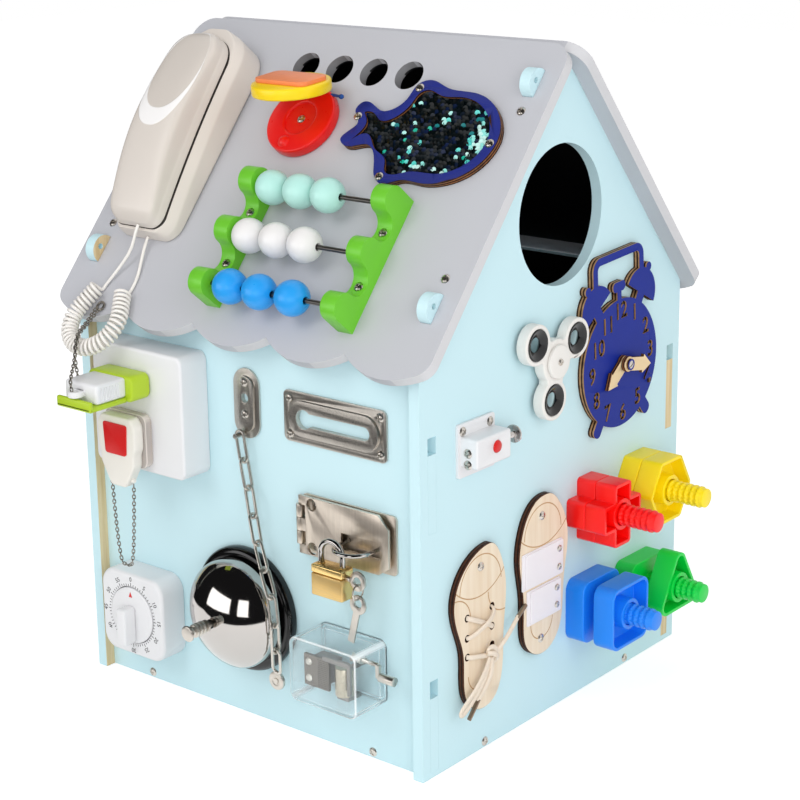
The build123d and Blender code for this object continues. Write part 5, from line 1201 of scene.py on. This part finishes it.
for u in (lock_u - 9, lock_u + 9):
    collar = turned("shackle_collar", collar_profile, 24)
    collar.matrix_world = place_at(u, 0, lock_w) @ spun(-90, "X")
    collars.append(collar)
settle(join(band, *collars), FRONT, band_brass, "lock", "brass", angle=40)
for node, body in (("padlock_key", "lock_key"), ("spare_key", "key_spare")):
    recast(node, node + "_blank", 0.25, 2, 40.0, nickel, body, "nickel")

# The desk bell: a black lacquered foot, a spun chrome dome on a post, and a ribbed nickel
# press knob on a sprung plunger through its crown.
black_gloss = coat("black_gloss", "#060607", rough=0.14, drift=0.3, size=30.0, bump=0.02, rough_drift=0.1)
foot = turned(
    "bell_foot",
    (
        (0, 0), (42.4, 0), (43.6, 0.6), (44.0, 1.6), (44.0, 4.6), (43.2, 6.4), (41.4, 7.6), (39.0, 8.0),
        (30.0, 8.0), (8.0, 8.2), (4.0, 9.4), (3.6, 11.0), (3.6, 36.3), (0, 36.3)
    ),
    96
)
bell_seat = FRONT @ place_at(-4.5, 79.5)
settle(foot, bell_seat, black_gloss, "house", "black_gloss", "bell_base", angle=35)
rim_r, cap_r, cap_w, shoulder, sheet_thick, crown = 38.0, 46.7, -8.4, 9.0, 1.2, 0.07
turn_over = math.asin((rim_r - shoulder) / (cap_r - shoulder))
shoulder_w = cap_w + (cap_r - shoulder) * math.cos(turn_over)
dome_profile = [(36.8, 11.0), (37.9, 11.0), (38.05, 11.3), (38.0, 12.0), (38.0, 15.5)]
for i in range(13):
    a = (math.pi / 2 - turn_over) * i / 12
    dome_profile.append((rim_r - shoulder + shoulder * math.cos(a), shoulder_w + shoulder * math.sin(a)))
for i in range(1, 19):
    a = turn_over - (turn_over - crown) * i / 18
    dome_profile.append((cap_r * math.sin(a), cap_w + cap_r * math.cos(a)))
dome_profile.append((3.2, 37.0))
lining_r = cap_r - sheet_thick
for i in range(1, 11):
    a = crown + (turn_over - crown) * i / 10
    dome_profile.append((lining_r * math.sin(a), cap_w + lining_r * math.cos(a)))
dome_profile += [(36.7, shoulder_w), (36.7, 14.0), (36.8, 11.0)]
dome = turned("bell_spun_dome", dome_profile, 128)
settle(dome, bell_seat, chrome, "house", "chrome", "bell_dome", angle=50)
knob_profile = [
    (0, 11.4), (2.4, 11.4), (2.4, 41.4), (3.8, 41.4), (4.2, 41.8), (4.2, 43.0), (3.8, 43.4), (2.6, 43.5),
    (2.5, 44.6), (3.4, 45.0)
]
for rib in range(3):
    rib_w = 45.2 + rib * 3.15
    for r, w in ((4.2, 0.0), (4.6, 0.5), (4.6, 1.7), (4.2, 2.2), (3.5, 2.4), (3.5, 2.8)):
        knob_profile.append((r, rib_w + w))
knob_profile += [
    (2.9, 54.6), (2.5, 55.2), (2.6, 56.4), (3.4, 57.4), (4.9, 58.0), (5.4, 58.5), (5.5, 59.3), (5.1, 59.8),
    (4.2, 60.0), (0, 60.0)
]
knob = turned("bell_press_knob", knob_profile, 40)
settle(knob, bell_seat, nickel, "plunger", "nickel", "bell_plunger", angle=40)

# The kitchen timer: a white moulded case with a printed minute ring, and a dial that turns
# in it with a red pointer and a raised grip bar.


def lettered(name, words, size, thick, at, bold=0.0):
    bpy.ops.object.select_all(action="DESELECT")
    bpy.ops.object.text_add()
    obj = bpy.context.object
    obj.name = name
    obj.data.body = words
    obj.data.size = size
    obj.data.align_x = "CENTER"
    obj.data.align_y = "CENTER"
    obj.data.extrude = thick
    obj.data.offset = bold
    obj.data.resolution_u = 3
    bpy.ops.object.convert(target="MESH")
    obj = bpy.context.object
    obj.matrix_world = at
    return obj


recast("timer_case", "timer_moulded_case", 1.0, 3, 40.0, white_plastic, "house", "white_plastic")
print_black = coat("print_black", "#17171A", rough=0.5, drift=0.3, size=200.0, bump=0.05)
timer_u, timer_v = -98.5, 56.5
timer_seat = FRONT @ place_at(timer_u, timer_v)
marks = []
for minute in range(60):
    long = 2.6 if minute % 5 == 0 else 1.5
    tick = eased_block("minute_tick", (0.45, long, 0.16), (0, 21.6 + long / 2, 0), 0.03, 1)
    tick.matrix_world = place_at(timer_u, timer_v, 22.02, -6 * minute)
    marks.append(tick)
for i in range(12):
    turn = place_at(timer_u, timer_v, 22.0, -30 * i)
    marks.append(lettered("minute_number", str(5 * i), 4.6, 0.08, turn @ Matrix.Translation((0, 26.6, 0.02))))
settle(join(*marks), FRONT, print_black, "house", "white_plastic", angle=20)
dial_plate = turned(
    "timer_dial_plate",
    ((0, 17.6), (20.2, 17.6), (20.45, 18.0), (20.45, 22.2), (20.1, 22.6), (19.4, 22.8), (0, 22.8)), 72
)
dial_bar = eased_block("timer_grip_bar", (9, 27, 11.4), (0, -6.0, 28.2), 2.0, 4)
settle(join(dial_plate, dial_bar), timer_seat, white_plastic, "dial", "white_plastic", "timer_dial", angle=40)
pointer = cut_out("timer_pointer", ((-1.7, 0), (1.7, 0), (0, 4.2)), 0.12, 0, (0, 13.6, 22.76))
settle(pointer, timer_seat, red_gloss, "dial", "red_plastic")

# The music box: a clear moulded case over a wind-up movement with a dark comb plate, a
# pinned brass drum and a bent wire crank with a turned knob.
clear_case = clear_plastic("clear_case", "#FAFDFE", 0.02, 0.05, 0.97)
recast("music_case", "music_clear_case", 0.9, 3, 40.0, clear_case, "house", "clear")
movement_steel = coat(
    "movement_steel", "#8B8682", rough=0.35, drift=0.3, size=80.0, skin=2000.0, bump=0.05, rough_drift=0.25,
    metallic=1.0
)
comb_dark = brushed("comb_dark", "#5A5552", 0.4, (0.08, 1.0, 1.0))
bed = board("music_bed", 50, 38, 3.5, 4, 0.5, (88.5, 64, 0.05))
bars = [eased_block("music_" + part, size, at, ease) for part, size, at, ease in (
    ("post", (17, 15.5, 14), (73.75, 60, 11), 0.5),
    ("foot", (10, 3, 12), (92.5, 45.1, 10), 0.4),
    ("frame_bar", (22, 3.4, 2.6), (90.5, 71.5, 19.6), 0.5),
    ("frame_leg", (2.6, 22, 2.6), (101.6, 61.5, 19.6), 0.5),
    ("leg_foot", (2.6, 3.0, 16), (101.6, 70.0, 11.6), 0.4),
)]
settle(bed, FRONT, clear_case, "house", "clear", angle=40)
settle(join(*bars), FRONT, movement_steel, "house", "movement_steel", "music_movement", angle=40)
comb = eased_block("music_comb", (21.5, 22, 2.5), (73.75, 60, 19.25), 0.3, 1)
for i in range(15):
    carve(comb, eased_block("tine_gap", (10.5, 0.35, 4), (80.2, 50.6 + i * 1.34, 19.25), 0.02, 1))
settle(comb, FRONT, comb_dark, "house", "movement_steel", angle=30)
comb_screws = []
for v in (54.5, 66.0):
    head = turned("comb_screw", ((0, 1.3), (1.6, 1.15), (2.4, 0.5), (2.6, 0), (0, -0.2)), 24)
    carve(head, eased_block("screw_slot", (5.4, 0.6, 1.2), (0, 0, 1.3), 0.05, 1))
    head.matrix_world = place_at(67.5, v, 20.55, 40)
    comb_screws.append(head)
settle(join(*comb_screws), FRONT, nickel, "house", "nickel", angle=35)
drum_brass = coat(
    "drum_brass", "#BFB4A0", rough=0.3, drift=0.3, size=150.0, skin=1500.0, bump=0.1, rough_drift=0.25,
    metallic=1.0
)
drum = turned(
    "music_pinned_drum",
    ((0, 47.0), (5.4, 47.0), (6.0, 47.3), (6.2, 48.0), (6.2, 66.0), (6.0, 66.7), (5.4, 67.0), (0, 67.0)), 36
)
pins = []
pin_order = random.Random(3)
for i in range(60):
    pin = turned("drum_pin", ((0, -0.3), (0.22, -0.3), (0.16, 0.42), (0, 0.45)), 6)
    a = pin_order.uniform(0, math.tau)
    along = Matrix.Translation((6.05, 0, 49.2 + pin_order.randrange(13) * 1.25))
    pin.matrix_world = Matrix.Rotation(a, 4, "Z") @ along @ spun(90, "Y")
    pins.append(pin)
drum = join(drum, *pins)
drum.matrix_world = place_at(92.5, 0, 14) @ spun(-90, "X") @ drum.matrix_world
settle(drum, FRONT, drum_brass, "drum", "movement_steel", "music_drum", angle=40)
recast("music_crank", "music_bent_crank", 0.3, 2, 40.0, nickel, "crank", "movement_steel", angle=50)

# The alarm clock: a clock shape sawn by laser from 5 mm plywood, blue on its face and burnt
# on its edges. The numbers are cut right through, so the wall shows in them.
right_out = (1, 0, 0)
clock_ply = cut_ply("clock_ply", "#15298A", right_out, 2500.0, burn="#B48C64")
clock = shaped_from("clock_face", "clock_cut_face")
number_at = (
    (1, 82.5, 264.3), (2, 97.0, 252.0), (3, 103.6, 233.8), (4, 99.7, 215.2), (5, 88.2, 202.4),
    (6, 69.4, 195.2), (7, 50.4, 198.8), (8, 36.7, 210.7), (9, 31.2, 228.9), (10, 38.1, 246.6),
    (11, 49.4, 260.9), (12, 65.2, 268.6)
)
for hour, y, z in number_at:
    cutter = lettered("clock_number", str(hour), 16.0, 4.0, RIGHT @ place_at(y, z, 2.5, 3.5), 0.45)
    open_mesh(cutter)
    bpy.ops.mesh.remove_doubles(threshold=0.0005)
    close_mesh()
    carve(clock, cutter)
soften(clock, 0.3 * mm, 1, 50.0)
settle(clock, AS_CAD, clock_ply, "house", "ply_blue", "clock_face", angle=14)
pin_head = turned(
    "clock_pin_head", ((0, 14.4), (1.6, 14.2), (3.0, 13.6), (3.4, 12.9), (3.4, 12.3), (0, 12.2)), 28
)
carve(pin_head, eased_block("pin_slot", (7, 0.9, 1.2), (0, 0, 14.3), 0.05, 1))
settle(pin_head, RIGHT @ place_at(66, 232, 0, 35), nickel, "house", "nickel", angle=40)
hand_ply = cut_ply("hand_ply", "#E9D0A6", right_out, 3500.0)
for node, body in (("hour_hand", "hour"), ("minute_hand", "minute")):
    recast(node, node + "_cut", 0.3, 1, 40.0, hand_ply, body, "ply")

# The finger spinner: a white three-lobed body on a screwed hub, with a white cap in the
# middle and a dark gloss funnel ring pressed into each lobe.
spinner_white = coat("spinner_white", "#E9E6E1", drift=0.05, size=30.0, bump=0.05)
spinner_y, spinner_z, lobe_r = -20, 253, 26
recast("spinner_body", "spinner_lobes", 1.6, 3, 50.0, spinner_white, "spinner", "white_plastic")
funnels = []
for i in range(3):
    a = math.radians(24.5 + 120 * i)
    funnel = turned(
        "spinner_funnel",
        (
            (4.9, 8.3), (5.3, 7.6), (10.5, 3.5), (10.55, 11.3), (10.3, 11.7), (9.7, 11.7), (5.5, 9.3),
            (5.0, 8.9), (4.9, 8.3)
        ),
        48
    )
    funnel.matrix_world = place_at(spinner_y + lobe_r * math.cos(a), spinner_z + lobe_r * math.sin(a))
    funnels.append(funnel)
settle(join(*funnels), RIGHT, black_gloss, "spinner", "black_gloss", "spinner_weights", angle=35)
hub = turned(
    "spinner_hub_cap",
    (
        (0, 14.5), (2.2, 14.5), (2.2, 14.1), (9.8, 14.3), (11.0, 14.0), (11.5, 13.4), (11.5, 12.0),
        (11.2, 11.8), (3.4, 11.8), (3.4, 2.0), (6.0, 1.8), (6.0, 0), (0, 0)
    ),
    64
)
settle(
    hub, RIGHT @ place_at(spinner_y, spinner_z), spinner_white, "house", "white_plastic", "spinner_hub",
    angle=35
)
hub_screw = turned("hub_screw", ((0, 1.5), (1.0, 1.4), (1.9, 0.9), (2.3, 0.2), (2.3, -0.2), (0, -0.2)), 24)
carve(hub_screw, eased_block("hub_slot", (5, 0.8, 1.2), (0, 0, 1.5), 0.05, 1))
settle(hub_screw, RIGHT @ place_at(spinner_y, spinner_z, 14.3, 30), nickel, "house", "nickel", angle=40)

# The slide latch: a white moulded plate and case screwed to the wall, a chrome spring bolt
# with a round end, and a red push button that holds it.
recast("latch_case", "latch_moulded_case", 0.5, 2, 50.0, white_plastic, "house", "white_plastic")
recast("latch_bolt", "latch_chrome_bolt", 0.3, 2, 40.0, chrome, "bolt", "chrome")
push = turned(
    "latch_push_button",
    ((0, 17.0), (2.0, 16.9), (3.4, 16.5), (4.05, 15.7), (4.2, 14.8), (4.2, 12.8), (0, 12.8)), 32
)
settle(push, RIGHT @ place_at(-91, 214), red_gloss, "button", "red_plastic", "latch_button", angle=40)

# The shoe soles: two soles sawn by laser from 5 mm plywood, clear on the face and burnt on
# the edge, with toe caps and heels drawn by a fine burnt line.
sole_ply = cut_ply("sole_ply", "#EDDDC6", right_out, 2500.0, 0.5, "#55301E")
net, shader, _ = coat_parts(sole_ply)
face_mix = shader["Base Color"].links[0].from_node.inputs
_, along, up = net.axes(net.place())


def arc_line(net, u, v, centre, radius, above):
    du, dv = net.math("SUBTRACT", u, centre[0] * mm), net.math("SUBTRACT", v, centre[1] * mm)
    far = net.math("SQRT", net.math("ADD", net.math("MULTIPLY", du, du), net.math("MULTIPLY", dv, dv)))
    near = net.math("ABSOLUTE", net.math("SUBTRACT", far, radius * mm))
    half = net.math("GREATER_THAN" if above > 0 else "LESS_THAN", dv, 0.0)
    return net.math("MULTIPLY", net.math("LESS_THAN", near, 0.00042), half)


burnt = 0.0
for centre, radius, above in (
    ((-97, 148), 36, -1), ((-95, 118), 22, 1), ((-96, 60), 12.5, -1), ((-122, 100), 16, 1),
    ((-70, 112), 17, -1),
    ((-26, 164), 38, -1), ((-26, 134), 21, 1), ((-27, 72), 12.5, -1),
):
    burnt = net.math("MAXIMUM", burnt, arc_line(net, along, up, centre, radius, above))
sole_wood = wood(net, "#EFE0CA", "#E3CDB0", 190.0)
net.feed(face_mix, {"A": net.mix(burnt, sole_wood, linear("#C09A70"))})
recast("shoe_soles", "shoe_cut_soles", 0.3, 1, 40.0, sole_ply, "house", "ply")

# The toy bolts: four thick moulded bolts screwed to the wall, plus, hexagon, triangle and
# square, each with a nut of its own outline, a hollow rim and a boss round the thread.
for colour, code in (("red", "#FF0C08"), ("yellow", "#FFE40A"), ("green", "#02D648"), ("blue", "#1686F6")):
    toy, bolt, nut = "toy_" + colour, colour + "_bolt", colour + "_nut"
    toy_plastic = coat(toy, code, rough=0.36, drift=0.07, size=40.0, skin=800.0)
    recast(bolt, colour + "_toy_bolt", 0.35, 2, 40.0, toy_plastic, "house", toy)
    recast(nut, colour + "_toy_nut", 0.7, 3, 40.0, toy_plastic, "nut_" + colour, toy)

# The shoe lace: a flat braided cotton lace crossed through five holes of the left sole and
# tied. A short loop and an end hang down from the knot, the other end runs up to the right,
# and both ends are bound in a metal tag.
lace_cotton = coat(
    "lace_cotton", "#F3E6D6", rough=0.85, drift=0.1, size=120.0, skin=2600.0, bump=0.25, spec=0.2
)
net, shader, cotton_tone = coat_parts(lace_cotton)
_, along, up = net.axes(net.place())
braid = 1.0
for operation in ("ADD", "SUBTRACT"):
    slant = net.math("MULTIPLY", net.math(operation, along, up), 4200.0)
    braid = net.math("MULTIPLY", braid, net.math("ABSOLUTE", net.math("SINE", slant)))
emboss(net, shader, 0.5, 0.0003, braid)
# Darker beige between the strands of the braid: painted shade in the grooves of the weave.
between = net.math("SUBTRACT", 0.25, net.math("MULTIPLY", braid, 0.25))
net.feed(shader, {"Base Color": net.mix(between, cotton_tone, linear("#CDB79C"))})


def ribbon(name, path, wide, thick, step=0.0012, around=12):
    kept = [path[0]]
    for place in path[1:-1]:
        if (place - kept[-1]).length > step:
            kept.append(place)
    kept.append(path[-1])
    points, faces = [], []
    for i, place in enumerate(kept):
        way = (kept[min(i + 1, len(kept) - 1)] - kept[max(i - 1, 0)]).normalized()
        side = way.cross(Vector((1, 0, 0))).normalized()
        over = side.cross(way)
        for k in range(around):
            a = math.tau * k / around
            points.append(place + (side * (wide / 2 * math.cos(a)) + over * (thick / 2 * math.sin(a))) * mm)
    last = (len(kept) - 1) * around
    for i in range(0, last, around):
        for k in range(around):
            m = (k + 1) % around
            faces.append((i + k, i + around + k, i + around + m, i + m))
    faces += [tuple(range(around)), tuple(range(last + around - 1, last - 1, -1))]
    return face_out(meshed(name, points, faces))


lacing = []
for route in (
    (
        (-109.5, 101, 4.4), (-109.0, 101, 6.6), (-104, 98.5, 7.6), (-96, 94.5, 7.6), (-88, 90, 7.4),
        (-83.4, 87.2, 6.4), (-83, 87, 4.4)
    ),
    (
        (-83, 101, 4.4), (-83.2, 100.6, 6.6), (-86, 97.5, 9.0), (-95, 94, 10.6), (-104, 89.6, 8.4),
        (-109, 87.2, 6.4), (-109.5, 87, 4.4)
    ),
    ((-109.5, 74, 4.4), (-109.0, 74, 6.8), (-104, 73.2, 7.6), (-97, 71.4, 7.8), (-91, 70, 8.4)),
    (
        (-90.5, 71.5, 7.4), (-93.5, 74, 9.2), (-92.5, 77, 10.8), (-88.6, 76.2, 11.6), (-86.2, 72, 11.2),
        (-87, 67.5, 9.8), (-90.5, 66, 8.4)
    ),
    (
        (-94.5, 72.8, 9.8), (-90.5, 72.6, 12.0), (-86.5, 69.5, 12.2), (-84.6, 65.8, 10.2), (-87.2, 64.2, 8.6),
        (-91, 66.5, 8.2)
    ),
    (
        (-91, 66.5, 9.4), (-96, 59.5, 11.0), (-106, 50, 11.2), (-116, 41.6, 10.2), (-121.6, 38.2, 9.6),
        (-123.4, 40.8, 9.6), (-118.6, 45.8, 10.4), (-108, 54, 11.8), (-97.5, 63.5, 11.4), (-92, 69, 9.8)
    ),
):
    lacing.append(ribbon("lace_run", spline_of("lace_run", on(RIGHT, *route)), 3.4, 2.0))
lacing = join(*lacing)
lacing.name = "lace_runs_and_knot"
settle(lacing, AS_CAD, lace_cotton, "house", "lace_cotton", "shoe_lace", angle=60)
tag_metal = coat(
    "tag_metal", "#8E7A66", rough=0.35, drift=0.3, size=200.0, skin=2000.0, bump=0.1, metallic=0.8
)
ends = (
    (
        "lace_end_up",
        ((-88, 69, 9.6), (-84, 72.5, 11.0), (-76, 78, 11.6), (-68, 83, 10.8), (-61, 87.5, 10.0)),
        (-51.5, 92.5, 9.4)
    ),
    (
        "lace_end_down",
        ((-89, 68, 9.6), (-92.5, 61, 12.4), (-97.5, 54, 12.2), (-102, 48, 11.2), (-105.5, 43.5, 10.2)),
        (-114, 33, 9.4)
    ),
)
for name, route, tip in ends:
    route = on(RIGHT, *route)
    path = spline_of(name, route)
    lace_end = ribbon(name, path, 3.6, 2.5)
    settle(lace_end, AS_CAD, lace_cotton, "house", "lace_cotton", angle=60)
    way = RIGHT @ Vector(tip) - route[-1]
    long = way.length / mm
    tag = turned(
        name + "_tag",
        (
            (0, -1.4), (1.45, -1.4), (1.5, -1.0), (1.5, long - 0.6), (1.3, long), (0.8, long),
            (0.7, long - 0.5), (0, long - 0.5)
        ),
        24
    )
    turn = way.to_track_quat("Z", "Y").to_matrix().to_4x4()
    seat = Matrix.Translation(route[-1]) @ turn @ Matrix.Scale(mm, 4)
    settle(tag, seat, tag_metal, "house", "lace_cotton", angle=40)

# The shoe straps: two doubled straps of white felted cloth across the right sole, sewn at
# their left edge and closed with press studs at the right.
strap_cloth = coat(
    "strap_cloth", "#EFEBEF", rough=0.9, drift=0.06, size=60.0, skin=3000.0, bump=0.3, spec=0.2
)
for name, y, z, wide, tall, lean in (
    ("strap_upper", -27.5, 112.5, 46.0, 26.0, 0.3), ("strap_lower", -26.0, 85.5, 38.0, 25.0, 1.1)
):
    layers = []
    for inset, low, thick in ((0.0, 0.05, 0.9), (3.2, 1.0, 0.9)):
        layer = board(
            name + "_layer", wide - inset, tall - 0.5 * inset, 1.2, thick, 0.3, (y + inset / 2, z, 5 + low), 4
        )
        open_mesh(layer)
        bpy.ops.mesh.bisect(plane_co=(y, z, 0), plane_no=(1, 0, 0))
        close_mesh()
        layers.append(layer)
    strap = join(*layers)
    strap.name = name
    settle(strap, RIGHT, strap_cloth, "house", "strap_cloth", "shoe_straps", angle=40)
    studs = []
    for side in (-1, 1):
        stud = turned(
            "press_stud",
            ((0, 0.9), (0.9, 0.9), (1.2, 0.7), (1.5, 0.95), (2.1, 0.8), (2.4, 0.4), (2.4, 0), (0, -0.2)), 28
        )
        stud.matrix_world = place_at(y + wide / 2 - 5, z + side * tall / 4, 6.9)
        studs.append(stud)
    studs = join(*studs)
    studs.name = name + "_studs"
    settle(studs, RIGHT, nickel, "house", "strap_cloth", angle=40)
